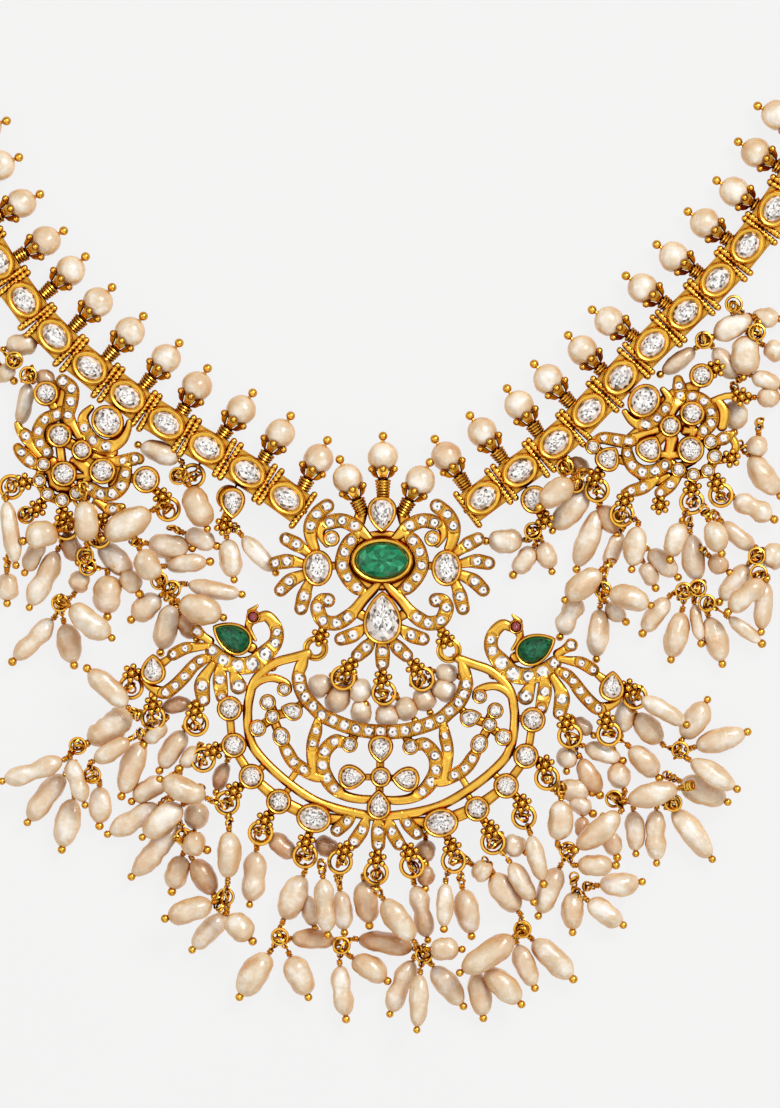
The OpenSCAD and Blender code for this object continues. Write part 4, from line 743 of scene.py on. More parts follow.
middle_seats = [
    [380.6, 749.1, 25, 28, 180, 1], [380.8, 776.9, 20.5], [378.7, 804.6, 24, 30, 0, 1]]
hangs = [
    [132, 673, 131, 687], [153, 705, 153, 718], [195, 711, 196, 724], [214, 751, 203, 760],
    [234, 791, 227, 803], [265, 820, 260.5, 833], [306, 842, 305, 856], [345, 850, 340, 862],
    [377, 859, 376, 873], [409.4, 852, 412, 866], [452, 847, 453.6, 861], [490, 829, 493, 842.4],
    [522, 803, 524, 817], [545, 764, 547, 778], [566, 723, 570, 736], [606, 720, 609, 734],
    [628, 688, 635, 697]]
tie_starts = [
    [153, 694], [203, 700], [225, 745], [245, 783], [272, 811], [311, 829], [354, 842], [378.3, 846],
    [401, 843], [446, 834], [483, 819], [513, 793], [535, 758], [560, 711], [601, 706], [618, 690]]
hang_ties = [[[148, 676, 5], [133, 673, 6]]]
hang_ties += [[[*a, 6], [*h[:2], 6]] for a, h in zip(tie_starts, hangs[1:])]
hang_ties += [[[380.6, 732, 6], [380, 777, 6], [378.6, 816, 6]]]
crescent_gold, crescent_pave = cluster_of(crescent_strips)
crescent_gold += cluster_of(plain_strips, 0.0, 3)[0] + cluster_of(crescent_ties, TIE_LIFT, 3)[0]
half_seats = [tail_seat, paisley_seat] + rim_seats + small_seats
crescent_gold += collars([peacock_seat] + half_seats + [eye_seat])
crescent_gold += across(crescent_gold, *mirror)
foot_gold, foot_pave = ribbon([[378.5, 818, 8], [378.3, 831, 13], [378.3, 845, 12]])
crescent_gold += foot_gold + cluster_of(hang_ties, TIE_LIFT, 3)[0] + collars(middle_seats)
crescent_gold += flowers(np.array(hangs)[:, :2])
crescent_gold += eyes(hangs + [[306, 660, 315.5, 648.5], [459, 661, 449, 650.5]], RING_Z)
gilt("crescent_gold", crescent_gold, "crescent_frame")
peacocks = [cut(peacock_seat, 4.97, 5.6, 6.3, 14, 0.36, dull)]
make("peacock_emeralds", peacocks + across(peacocks, *mirror), green_cut, "green_stone",
     "left_peacock_emerald", "right_peacock_emerald", flat=True)
pupils = [cut(eye_seat, 4.97, 5.45, 5.8, 10, 0.3)]
make("peacock_eyes", pupils + across(pupils, *mirror), red_cut, "red_stone",
     "left_peacock_eye", "right_peacock_eye", flat=True)
half_cuts = cuts(half_seats)
gems("crescent_stones", half_cuts + across(half_cuts, *mirror) + cuts(middle_seats),
     "left_tail_stone", "right_tail_stone", "rim_stones", "scroll_stones")
gems("crescent_pave", [pave(np.vstack([gems_across(crescent_pave, *mirror), foot_pave]))])

# ---- Side clusters below the band
# Each is cast and plated as the head piece is, leaf strips with pave stones between round, oval
# and pear shaped collars, and hangs from a ring at the outer side of the band.
left_strips = [
    [[91, 408, 6], [84, 416, 9], [84.5, 428, 12], [93, 440.5, 13], [106, 446.5, 13], [120, 441, 10.9],
     [127, 430, 8], [129, 422, 5]],
    [[63, 381.5, 13], [71.5, 389, 13], [71, 402, 13], [68, 415, 12], [73, 427, 10], [80, 437, 8]],
    [[60, 411, 9], [56.8, 415, 12], [44.9, 420, 12], [38.6, 431, 12], [40, 443.3, 12], [47, 452.3, 12]],
    [[17, 424, 5], [20, 430, 8], [26, 436, 12], [33, 448, 8], [40, 456, 6]],
    [[18, 448, 9], [21.5, 452.5, 12], [30, 460.5, 13], [38, 466, 9]],
    [[94, 456, 7], [108, 461, 8], [122.7, 460.8, 11], [135.3, 458.7, 12], [139, 459, 10]],
    [[127, 466, 9], [125.2, 474, 12], [121.5, 486, 13], [112, 493.8, 13], [100.3, 493.8, 13],
     [89, 487.8, 12], [80, 488, 8]],
    [[96, 501, 6], [105, 507, 9], [113, 509, 12], [122, 507, 7]]]
left_ties = [
    [[60, 446, 7], [62, 462, 7]], [[70, 477, 6], [92, 477, 6]],
    [[43.5, 464.6, 7], [39.4, 480.7, 7], [47.5, 494.5, 7], [62.4, 500.2, 7], [76.7, 493.3, 7],
     [84, 489, 7]],
    [[126, 478, 7], [140, 479, 7]], [[100, 495, 6], [101, 505, 6]], [[46, 394, 7], [57, 412, 7]],
    [[46, 394, 8], [62, 383, 8]], [[45, 452, 7], [44, 466, 7]], [[82, 450, 9], [97, 465, 9]],
    [[82, 450, 9], [64, 440, 9]], [[82, 450, 8], [92, 438, 8]], [[47, 470, 8], [60, 474, 8]],
    [[40, 481, 6], [27, 482.4, 6]], [[46, 496, 6], [37.7, 507, 6]], [[62.4, 501, 6], [64, 514, 6]],
    [[111, 510, 6], [99, 522, 6]], [[152, 487, 6], [162.3, 496, 6]],
    [[84, 440, 10], [98, 450, 10], [112, 452, 9]], [[64, 390, 9], [60, 404, 9], [66, 420, 10]],
    [[46, 420, 9], [50, 434, 10], [46, 448, 9]], [[76, 462, 10], [88, 470, 10], [86, 484, 8]],
    [[110, 458, 9], [118, 470, 10], [114, 484, 9]], [[30, 448, 8], [40, 442, 9]],
    [[52, 462, 9], [54, 484, 9], [70, 488, 8]]]
left_seats = [
    [107.7, 421.6, 31, 34, 40, 0], [59.5, 435.4, 25], [64, 473.8, 26], [102.6, 471, 27, 26, 20, 0],
    [46.3, 393.5, 25], [82, 450.3, 21], [146.2, 479.6, 27], [43.5, 464.6, 14.5], [39.4, 480.7, 14],
    [47.5, 494.5, 14], [62.4, 500.2, 15], [76.7, 493.3, 15]]
left_hangs = [
    [23.4, 482.4, 11, 487], [78, 490, 84.5, 497], [98.7, 523, 99, 536], [162.5, 497, 168, 509],
    [64, 516, 66, 528]]
right_strips = [
    [[663, 390, 6], [669, 399, 9], [665, 409, 12], [657, 418.5, 12], [645.5, 424.5, 13], [633, 421, 9],
     [625, 412, 6]],
    [[678, 380, 9], [679, 386, 12], [680.5, 396, 12], [674, 409, 9], [669, 419, 8]],
    [[683, 398, 8], [692, 396.8, 12], [703.8, 401.5, 12], [711, 411.8, 12], [711, 423, 12],
     [704, 431, 12], [700, 438, 9]],
    [[597, 440, 9], [603.5, 438, 11], [616, 440, 12], [628.4, 441.6, 12], [640, 436, 9], [657, 430, 7]],
    [[627.3, 448, 9], [627.3, 454, 11], [632, 465.3, 12], [642, 472, 13], [654.8, 471.2, 13],
     [665, 465, 12], [673, 464, 8]],
    [[711, 448, 7], [716, 442, 8], [723.5, 438.5, 12], [732, 434, 7]],
    [[625, 493, 8], [631.3, 491, 11], [643.2, 487.4, 12], [656, 479, 8]],
    [[660.5, 493, 11], [670, 484.8, 12], [679, 474, 8]]]
right_ties = [
    [[692, 424, 7], [693, 440, 7]], [[659, 455, 7], [680, 455, 7]],
    [[692.8, 460, 7], [678.3, 469.8, 7], [693.2, 475, 7], [707.6, 471, 7], [714.5, 456.6, 7],
     [710.5, 441.7, 7], [703, 436, 7]],
    [[592.8, 446.8, 7], [604, 455, 7]], [[614, 458, 7], [630, 462, 7]], [[646, 474, 8], [644, 486, 8]],
    [[700, 378, 7], [693, 393, 7]], [[670.3, 426, 9], [652, 446, 9]], [[670.3, 426, 9], [689, 416, 9]],
    [[670.3, 426, 9], [660, 416, 9]], [[707, 371, 6], [715.6, 368.8, 6]],
    [[730, 436, 6], [736, 446, 6], [731, 458.3, 6]], [[713, 461, 6], [731, 458.3, 6]],
    [[711, 474, 6], [716.2, 482.4, 6]], [[693, 478, 6], [692, 488, 6]], [[660, 494, 6], [660, 505, 6]],
    [[629, 493, 6], [624.4, 501.4, 6]], [[602, 465, 6], [595.7, 476.7, 6]],
    [[707, 404, 6], [726, 396, 5], [741.5, 397, 6]], [[693, 388, 10], [676, 394, 10], [662, 404, 10]],
    [[700, 404, 10], [707, 420, 11], [702, 440, 10]], [[664, 427, 10], [672, 440, 10], [668, 456, 9]],
    [[642, 428, 8], [630, 440, 9]], [[718, 402, 7], [724, 412, 9], [722, 426, 8]],
    [[686, 430, 9], [700, 434, 9], [716, 446, 7]], [[636, 470, 8], [650, 480, 9], [668, 478, 9]]]
right_seats = [
    [643.9, 401, 31, 35, -38, 0], [692, 413.5, 25], [690.4, 449.7, 27, 28],
    [649.6, 448.6, 27, 27, -30, 1], [701.3, 375.7, 24], [670.3, 426.2, 22],
    [608.3, 458.3, 25, 26, -35, 1], [592.8, 446.8, 15], [678.3, 469.8, 15], [693.2, 475, 14],
    [707.6, 471, 14], [714.5, 456.6, 15], [710.5, 441.7, 15]]
right_hangs = [
    [595.7, 476.7, 597, 490], [624.4, 501.4, 622, 514.5], [692, 488.2, 692, 502],
    [716.2, 482.4, 721, 495]]

# headings of the links in degrees, from the centre outwards
LEFT_WAY = [35.8, 32.2, 29.9, 32.2, 36.2, 39, 45.3, 53.8, 58.1, 60.8, 65.3, 71.4]
RIGHT_WAY = [36.8, 35.9, 40.7, 46.4, 47, 44.8, 43.9, 46.7, 51.1, 55.6, 58.6, 61.4]
STRING_Z = 1.3  # height of the string and of the rings of the band


def arm(start, step, headings, side):
    """Joints, middles, directions and outer sides of the links, summed from the centre."""
    a = np.radians(headings)
    way = np.stack([side * np.cos(a), np.sin(a)], -1)
    joint = np.vstack([start, start + np.cumsum(way * step, 0)])
    return joint, (joint[1:] + joint[:-1]) / 2, way, np.stack([way[:, 1], -way[:, 0]], -1) * side


left_arm = arm([-9.52, 5.98], 5.92, LEFT_WAY, -1)
right_arm = arm([10.36, 6.06], 5.73, RIGHT_WAY, 1)
# rings on the outer side of the band: arm, link, shift along it
ring_rows = [(left_arm, 1, 0.3), (left_arm, 2, -0.2), (left_arm, 4, 0),
             (right_arm, 1, -0.6), (right_arm, 2, -0.7), (right_arm, 4, -0.5)]
band_rings = np.array([mid[i] + way[i] * s + out[i] * 3.95 for (_, mid, way, out), i, s in ring_rows])
band_outs = np.array([out[i] for (_, _, _, out), i, _ in ring_rows])


def far_eye(k, under):
    """Eye on the far side of ring k of the band, with a stem up to the gold at height under."""
    e, wire = eye(band_rings[k:k + 1], -band_outs[k:k + 1], STRING_Z)
    return [wire, rods(e + [0, 0, 0.5], e + [0, 0, under + 0.4 - STRING_Z], 0.22, 8)]


extra_flowers = {"left": [[37.7, 508.2]],
                 "right": [[715.6, 368.8], [741.5, 397], [731, 458.3], [660, 505.4]]}
for side, strips, ties, seats, hung, held in (
        ("left", left_strips, left_ties, left_seats, left_hangs, 2),
        ("right", right_strips, right_ties, right_seats, right_hangs, 5)):
    side_gold, side_pave = cluster_of(strips)
    side_gold += cluster_of(ties, TIE_LIFT, 3)[0] + collars(seats) + far_eye(held, PLATE)
    side_gold += flowers(np.vstack([np.array(hung)[:, :2], extra_flowers[side]])) + eyes(hung, RING_Z)
    gilt(side + "_side_gold", side_gold, side + "_side_motif")
    gems(side + "_side_cuts", cuts(seats), side + "_side_stones")
    gems(side + "_side_pave", [pave(side_pave)])

# ---- Band of links with posts and round pearls
# Cast gilt boxes strung on a wire, with a bar of twisted wire at both ends, each with an oval stone
# in a broad smooth collar and a post that holds a round pearl on a pin at its inner side.


def block(x, y, wide, high, mid=0.0):
    """Upright block from four corners x, y off its middle, drawn in by the factor wide at each of
    the heights high."""
    corner = np.array([[x, -y], [x, y], [-x, y], [-x, -y]]) * np.array(wide)[:, None, None] + [mid, 0]
    level = np.broadcast_to(np.array(high, float)[:, None, None], (len(wide), 4, 1))
    return shells(np.concatenate([corner, level], -1)[None])


def link(reach):
    """Link with its length along x: box with a raised edge, collar, and bars of twisted wire at
    reach from the middle, each on a plate between two knobs. The radius of a bar swells with the
    sine of one and a half times the angle plus a multiple of the place along it."""
    box = block(2.2, 2.1, [0, 1, 1, 0.985, 0.955, 0.92, 0.9, 0],
                [0, 0, 2.95, 3.12, 3.18, 3.18, 3.14, 3.14])
    parts = [box, collar([MIDDLE_X, MIDDLE_Y, 4.9 * SQUARE, 3.95 * SQUARE], 2.6, 4.15, 0.72)]
    y, q = np.linspace(-2.25, 2.25, 46)[:, None], np.linspace(0, 2 * np.pi, 14, endpoint=False)
    r = 0.31 + 0.13 * np.abs(np.sin((3 * q + 11.5 * y) / 2)) ** 0.8
    r[[0, -1]] = 0
    twist = np.stack([r * np.cos(q), y + 0 * q, 2.95 + r * np.sin(q)], -1)
    parts.append(balls([[a, b, 2.9] for a in (-reach, reach) for b in (-2.4, 2.4)], 0.43, 10, 7))
    for a in (-reach, reach):
        plate = block(0.4, 2.35, [0, 1, 1, 0], [0.3, 0.3, 2.85, 2.85], a)
        parts += [shells((twist + [a, 0, 0])[None]), plate]
    return parts


# squares where the round pearls lie, and the seat of the links' stones
left_spikes = [
    [317.9, 458.7], [279.7, 433.4], [240.5, 409.7], [196.8, 386.1], [165.8, 358.9], [129.5, 331.6],
    [97.4, 302.1], [69.7, 270.3], [45.3, 240.8], [21, 203.2], [-0.8, 165], [-14, 126]]
right_spikes = [
    [446.2, 456.4], [482.5, 432.1], [519.2, 405.3], [548.5, 379], [582.9, 350], [609.8, 320.9],
    [643.2, 287.5], [674.3, 255.9], [705.3, 223.1], [734.7, 191.1], [756.4, 152.1], [776.8, 114.8]]
link_seat = [MIDDLE_X, MIDDLE_Y, 4.39 * SQUARE, 3.46 * SQUARE]
POST_Z = 2.05
spike_ways = {}
for side, (_, mid, way, out), reach, spikes, rows in (
        ("left", left_arm, 2.52, left_spikes, slice(0, 3)),
        ("right", right_arm, 2.43, right_spikes, slice(3, 6))):
    spike_ways[side] = unit(at(spikes) - mid + way * 0.9 + out * 2.1)
    inward = np.stack([-way[:, 1], way[:, 0]], -1) * (1 if side == "right" else -1)
    place = np.column_stack([mid, 0 * mid[:, 0]])
    band_gold = pose(link(reach), place, inward) + pose(post(), at(spikes, POST_Z), spike_ways[side])
    outs = np.column_stack([band_outs[rows], np.zeros(3)])
    e, wire = eye(band_rings[rows], band_outs[rows], STRING_Z)
    band_gold += [wire, rods(e - outs * 0.45, e - outs * 0.9, 0.28, 8)]
    gilt(side + "_band_gold", band_gold, side + "_band_links")
    band_cuts = [pose([cut(link_seat, 2.2, 3.8, 4.45, 12)], p, s)[0] for p, s in zip(place, inward)]
    gems(side + "_band_cuts", band_cuts, side + "_band_stones")

# ---- Small drops below the band
# A pear stone on the left and a round one on the right, in collars, each hung from a ring of the
# band with a granule flower and a ring for pearls below it.
drop_seats = {"left": [232.4, 503.1, 25, 31, 180, 1], "right": [534.7, 499.6, 28]}
drop_hangs = {"left": [223.5, 526, 225, 536], "right": [545, 520, 538, 531]}
DROP_FOOT = 2.6
drop_cuts = []
for side, held in (("left", 0), ("right", 3)):
    s, h = drop_seats[side], drop_hangs[side]
    drop_gold = ribbon([[s[0], s[1], 8], [h[0], h[1], 8]], -1.2, 6, DROP_FOOT)[0]
    drop_gold += [collar(s, DROP_FOOT, 4.7)] + flowers([h[:2]], 3.85)
    drop_gold += eyes([h], STRING_Z) + far_eye(held, DROP_FOOT)
    gilt(side + "_drop_gold", drop_gold, side + "_drop")
    drop_cuts.append(cut(s, 3.82, 4.45, 5.1))
gems("drop_cuts", drop_cuts, "drop_stones")
jumps = np.vstack([at(np.array(link_rings)[:, 2:], RING_Z),
                   np.column_stack([band_rings[[0, 2, 3, 5]], np.full(4, STRING_Z)])])
gilt("jump_rings", [hoops(jumps, RING, 0.26, (0, 0, 1), 30, 8),
                    hoops(jumps[:2] + [0, 0, 0.35], 1.02, 0.26, (0.1, 0.1, 1), 26, 8)], "linking_rings")

# ---- Pearls
# Round pearls on the posts, and rice pearls of many shapes and tints, each drilled along its
# length, threaded on a gold pin with a ball at the end and wrapped in a loop to its ring.
pearl_skin, tree, shader = surface("pearl_skin")
cloud, dust = noise(tree, 480.0, 5.0, 0.62), noise(tree, 900.0, 2.5)
# painted shade and painted gold reflection: pearls turn darker and warmer where gold and other pearls
# close them in
near_gold = add(tree, "ShaderNodeAmbientOcclusion", {"samples": 4, "Distance": 0.0016}).outputs["AO"]
painted_bounce_shade = ramp(tree, near_gold, [(0.15, (0.5, 0.24, 0.1)), (0.72, (1, 1, 1))])
skin = ramp(tree, clouded(tree, cloud, 1.3), [
    (0.0, (0.46, 0.2, 0.085)), (0.22, (0.62, 0.36, 0.18)), (0.45, (0.72, 0.5, 0.3)),
    (0.68, (0.76, 0.62, 0.44)), (0.95, (0.93, 0.89, 0.81))])
# painted shade and painted gold reflection: the sides of each pearl turn orange, the top stays cream
painted_side_shade = by_slope(tree, [(0.0, (0.94, 0.46, 0.1)), (0.5, (0.98, 0.74, 0.41)), (0.84, (1, 1, 1))])
gloss = add(tree, "ShaderNodeMapRange", {3: 0.2, 4: 0.42}, {0: cloud}).outputs[0]
bump = add(tree, "ShaderNodeBump", {"Strength": 0.55, "Distance": 0.00032}, {"Height": dust}).outputs[0]
fill(tree, shader, {"IOR": 1.55, "Coat Weight": 0.75, "Coat IOR": 1.7, "Coat Roughness": 0.18},
     {"Base Color": times(tree, times(tree, skin, painted_bounce_shade), painted_side_shade), "Roughness": gloss, "Normal": bump})


def pearls(a, b, wide, form, tint):
    """Pearls from their inner ends a to their outer ends b. The radius along the length is
    (1 - s^p)^e, s being the distance from the middle, times sums of sines for lumps; form 1 takes a
    quarter off at the waist, 2 adds ridges, 3 gives a ball."""
    m = len(a)
    t = 0.5 - 0.5 * np.cos(np.pi * np.linspace(0, 1, 17)[None, :, None])
    q = np.linspace(0, 2 * np.pi, 20, endpoint=False)[None, None]
    s = np.abs(2 * t - 1)
    form, wide = form[:, None, None], wide[:, None, None]
    ball = form == 3
    r = np.where(ball, np.sqrt(np.clip(1 - s ** 2, 0, 1)), np.clip(1 - s ** 2.8, 0, 1) ** 0.55)
    r = r * (1 - (form == 1) * 0.24 * np.exp(-((t - 0.5) / 0.13) ** 2))
    r = r * (1 + (form == 2) * 0.05 * np.cos(2 * np.pi * 5 * t))
    # lumps: six random phases for each pearl, balls have them at a third of the size
    h = chance.uniform(0, 2 * np.pi, (m, 6, 1, 1))
    size = np.where(ball, 0.35, 1.0)
    lump = (0.05 * np.sin(2 * q + h[:, 0]) * np.sin(np.pi * t) + 0.035 * np.sin(3 * q + 5 * t + h[:, 1])
            + 0.06 * np.sin(2 * np.pi * t + h[:, 2]) * (1 - s) + 0.025 * np.sin(5 * q - 7 * t + h[:, 3])
            + 0.026 * np.sin(21 * t + 2.5 * np.sin(q + h[:, 4]) + h[:, 5]))
    r = wide * r * (0.97 + size * (lump - 0.04))
    d, long = unit(b - a), np.linalg.norm(b - a, axis=1)
    turn = facing(d)
    bow = size * 0.05 * wide * np.sin(np.pi * t) * 2
    p = np.stack([r * np.cos(q) + bow * np.cos(h[:, 4]), r * np.sin(q) * (1 - 0.06 * size) + 0 * t,
                  t * long[:, None, None] + 0 * q], -1)
    p = a[:, None, None] + np.einsum("mij,mabj->mabi", turn, p)
    v, f = shells(p)
    drift = np.sin(2 * np.pi * t + h[:, 5]) * 0.08 + 0 * q
    tone = (tint[:, None, None] + drift)[:, :-1]
    return v, f, tone.reshape(-1)


def round_pearls(name, middles, ways, node):
    """Round pearls on the pins of the posts."""
    half, radius = np.column_stack([ways, ways[:, 0] * 0]) * 1.93, 1.97
    n = len(middles)
    make(name, [pearls(middles - half, middles + half, np.full(n, radius), np.full(n, 3),
                       chance.uniform(0.62, 0.86, n))], pearl_skin, "pearl", node, sharp=3)


round_pearls("crown_round_pearls", at(crown_spikes, CROWN_Z), crown_ways, "crown_pearls")
for side, spikes in (("left", left_spikes), ("right", right_spikes)):
    round_pearls(side + "_round_pearls", at(spikes, POST_Z), spike_ways[side], side + "_spike_pearls")


def leaning(n):
    """Random directions that lean away from the upright."""
    return np.column_stack([chance.normal(0, 1, (n, 2)), chance.uniform(0.2, 1, n)])


LAYER = 3.75  # height of a layer of pearls
USUAL = [0, 0, 0.72, 0]  # layer, form, tint and wrapped end of most rice pearls
BARE = 0.75  # pin between the end of a pearl and its hook


def pins(e, w, hubs, radius):
    """Wire for the ends e of pearls that lie along w: a pin, three turns wound behind the pearl and
    a hook round the nearest of the rings. An end that finds no ring near has coils of its own."""
    start = e - w * BARE
    near = np.linalg.norm(start[:, None, :2] - hubs[None, :, :2], axis=2).argmin(1)
    flat = unit((start - hubs[near]) * [1, 1, 0])
    hook = hubs[near] + flat * radius[near, None]
    gap = np.linalg.norm(start - hook, axis=1)
    alone = gap > 2.3
    hook[alone] = start[alone] - w[alone] * 0.5
    gold = [hoops(hook[alone] - w[alone] * 0.3 * k, 0.55, 0.14, leaning(alone.sum()), 16, 5)
            for k in range(3 * alone.any())]
    tilt = unit(np.column_stack([-flat[:, 1], flat[:, 0], chance.uniform(0.4, 1.4, len(e))]))
    gold.append(hoops(hook + unit(start - hook) * 0.34, 0.46, 0.13, tilt, 16, 5))
    for k in (0.14, 0.36, 0.58):
        gold.append(hoops(e - w * k + chance.normal(0, 0.02, e.shape), 0.27, 0.125,
                          w + chance.normal(0, 0.12, w.shape), 14, 5))
    far = ~alone & (gap > 0.7)
    if far.any():
        gold.append(rods(hook[far], start[far], 0.14, 7))
    return gold + [rods(start, e + w * 0.3, 0.14, 7)]


def cluster(name, rings, rows, *nodes):
    """Pearls with their pins, for rings of x, y, radius, height and rows of inner x, y, outer x, y,
    width, and if they aren't usual layer, form, tint and 1 where the outer end is wrapped to a ring."""
    rows = np.array([list(r) + USUAL[len(r) - 5:] for r in rows], float)
    wide, layer, form, tint, tied = rows[:, 4] / 2 / SQUARE, *rows[:, 5:].T
    z = 0.08 + layer * LAYER + wide
    a, b = at(rows[:, :2], z), at(rows[:, 2:4], z)
    d = unit(b - a)
    a, b = a - d * 0.12, b + d * 0.12
    tint = tint + chance.uniform(-0.1, 0.1, len(rows))
    make(name + "_rice_pearls", [pearls(a, b, wide, form, tint)], pearl_skin, "pearl", *nodes[:1], sharp=3)
    # the rings, each with four loose curls of wire
    rings = np.array(rings, float)
    hubs, radius = at(rings[:, :2], rings[:, 3]), rings[:, 2]
    gold = [hoops(hubs, radius, np.where(radius > 1.2, 0.28, 0.2))]
    for _ in range(4):
        lean = leaning(len(hubs))
        gold.append(hoops(hubs + chance.normal(0, 0.22, hubs.shape),
                          chance.uniform(0.5, 0.8, len(hubs)), 0.15, lean, 16, 5))
    gold += pins(np.vstack([a, b[tied > 0]]), np.vstack([d, -d[tied > 0]]), hubs, radius)
    # a ball closes each pin that isn't wrapped
    free = tied == 0
    gold.append(balls(b[free] + d[free] * chance.uniform(0.22, 0.4, (free.sum(), 1)),
                      chance.uniform(0.46, 0.56, free.sum()), 12, 8))
    gilt(name + "_pins_and_rings", gold, *nodes[1:])


def rings_of(hung, coils=(), band_ring=None):
    """Ring rows: jump rings of hanging points, small coils, and a ring of the band."""
    rows = [[h[2], h[3], RING, RING_Z] for h in hung] + [[x, y, 0.95, RING_Z] for x, y in coils]
    if band_ring is not None:
        x, y = band_rings[band_ring] * [SQUARE, -SQUARE] + [MIDDLE_X, MIDDLE_Y]
        rows.append([x, y, RING, STRING_Z])
    return rows


cluster("crescent_left", rings_of(hangs[:6], [[77.6, 746], [92, 775], [184, 837], [225.5, 897]]), [
    [126.5, 705.3, 89.8, 670.6, 24, 1], [130, 713, 89, 742, 33, 0, 2],
    [128.6, 740, 95, 760, 20, 1, 0, .72, 1], [140.8, 743, 122.4, 793, 27], [183.7, 732, 161.2, 767.6, 24],
    [62, 760, 5, 780, 25, 1, 1], [63, 776, 29, 820, 26], [71, 760, 84, 801, 22, 1, 1],
    [73, 800, 62, 847, 26], [99, 788, 99, 823, 24], [157, 806, 110, 833, 25, 0, 1],
    [205, 797, 163, 780, 27, 1.15], [198, 803, 194, 829, 27, 0, 3, .6, 1], [181, 806, 145, 835, 28, .72],
    [176.5, 826, 133, 875, 24, 0, 2], [184, 841, 204, 848.5, 27, 1, 0, .55], [182, 857, 172.5, 889, 25],
    [229, 832, 228, 877, 26, 1, 0, .72, 1], [211, 903, 169, 917, 28, 1], [223.5, 915.5, 194, 948, 24],
    [229, 916, 250, 938, 28, 1], [255.8, 852.5, 249.8, 901.5, 27, 0, 1], [163, 722, 146, 742, 22, .25],
    [162, 708, 191, 704, 17, .2, 0, .2], [197, 748, 181.6, 766, 18, .4], [165, 780, 134, 800, 23],
    [193, 861, 213, 894, 24, .1, 0, .3], [226, 764, 217, 790, 17, .2, 0, .15],
    [270, 836, 295, 856, 21, .2, 0, .2]],
    "crescent_left_pearls", "crescent_left_wires")
cluster("crescent_base", rings_of(hangs[6:11], [[279.8, 936.8], [341.5, 945.5], [424, 955]]), [
    [302.5, 877, 284, 919, 29, 0, 0, .72, 1], [268, 955, 241, 995, 31], [290.6, 957.6, 307, 995, 29],
    [323, 879, 327.5, 931, 24, 1, 1], [340, 967, 345.5, 1016, 24, 0, 1], [353.6, 959, 385, 980, 27],
    [412, 949, 359, 940, 24, 0, 0, .35, 1], [364, 882, 369, 923, 26, 0, 0, .5],
    [384.4, 900, 412.5, 939, 27, 1, 0, .6, 1], [415, 887, 427, 937, 25, 0, 1],
    [412.5, 962, 391, 1012, 25, 0, 1], [420, 975, 417, 1026, 21, 1], [463, 890.6, 471, 933.5, 27],
    [431, 949, 458, 949, 25, 1], [433.5, 968, 461.6, 1004.5, 24], [306, 897, 314, 926, 19],
    [340, 892, 344, 930, 21], [292, 939, 334, 941, 21, .2, 0, .25], [445.5, 884, 444, 926, 19, .9],
    [316, 842, 337, 850, 21, .1, 0, .15], [425.4, 841, 425.4, 862, 22, .1, 0, .15],
    [425.4, 866, 425.4, 886, 18, .1, 0, .3]],
    "crescent_base_pearls", "crescent_base_wires")
cluster("crescent_right", rings_of(hangs[11:], [
    [522.5, 929.5], [568, 850.6], [680.3, 750], [614, 799], [673.5, 803]]), [
    [494, 874.5, 518, 911, 27, 0, 0, .72, 1], [512.5, 937, 463, 970, 29, 1.12, 0, .6],
    [476, 974, 483, 1016, 24], [487, 970, 519, 1002, 27, .45], [534, 941.5, 571.4, 977.7, 27],
    [531, 836, 542.5, 880, 19, 1, 0, .6], [560.7, 801, 557.5, 839.4, 27, 1, 0, .72, 1],
    [559.5, 869, 540, 913, 26], [574, 893, 573, 929.5, 24], [578, 865, 611.7, 865, 24, 1],
    [600.6, 885.7, 638.9, 882.5, 26], [568.7, 748, 567, 768, 23], [559, 789, 589, 792.5, 25, 0, 0, .6],
    [631, 748.5, 657, 775.7, 25], [616, 764, 624, 788, 23, 0, 0, .72, 1], [642, 699, 683.5, 723, 21, 1],
    [637, 715, 661, 742, 25, 0, 0, .72, 1], [684, 738, 706, 703, 26], [697, 747, 745, 733, 24],
    [691.5, 761, 733.7, 787, 22, 1], [682, 782, 725, 801, 30],
    [628.5, 799.6, 676.5, 788.5, 25, 1, 0, .72, 1], [618, 813, 578, 847.4, 26, 1, 0, .6],
    [657, 811, 657, 860, 25, 0, 1], [674, 811, 710.6, 857, 26], [518, 946, 534, 986, 22, .1],
    [511, 864, 532.6, 900, 21, .5], [474, 866, 490, 876, 24, .1], [505, 840, 524, 851, 24, .1],
    [629, 698, 621.5, 732, 23, .1], [586, 747, 620, 760, 21], [581.5, 760, 599, 793, 21, .1, 0, .3],
    [571, 800, 590, 812, 21, .1], [608.6, 833, 616.5, 855, 20], [634, 812, 636, 850.6, 21, .1],
    [589.4, 901.6, 621.3, 924, 25, .1], [575, 720, 591, 733, 17, .2, 0, .2],
    [583, 818, 583, 838, 17, .2, 0, .3]],
    "crescent_right_pearls", "crescent_right_wires")
cluster("head", rings_of(head_hangs), [
    [330, 680, 310, 693, 25], [345, 685, 331, 712, 25], [356, 680, 364, 701, 25, .2],
    [360, 700, 364, 724, 23, .1], [384, 704, 389, 729, 25], [399, 700, 413, 718, 24],
    [420, 688, 429, 710, 25], [434, 684, 455, 698, 23, .2], [436, 672, 457, 676, 22, .2]])
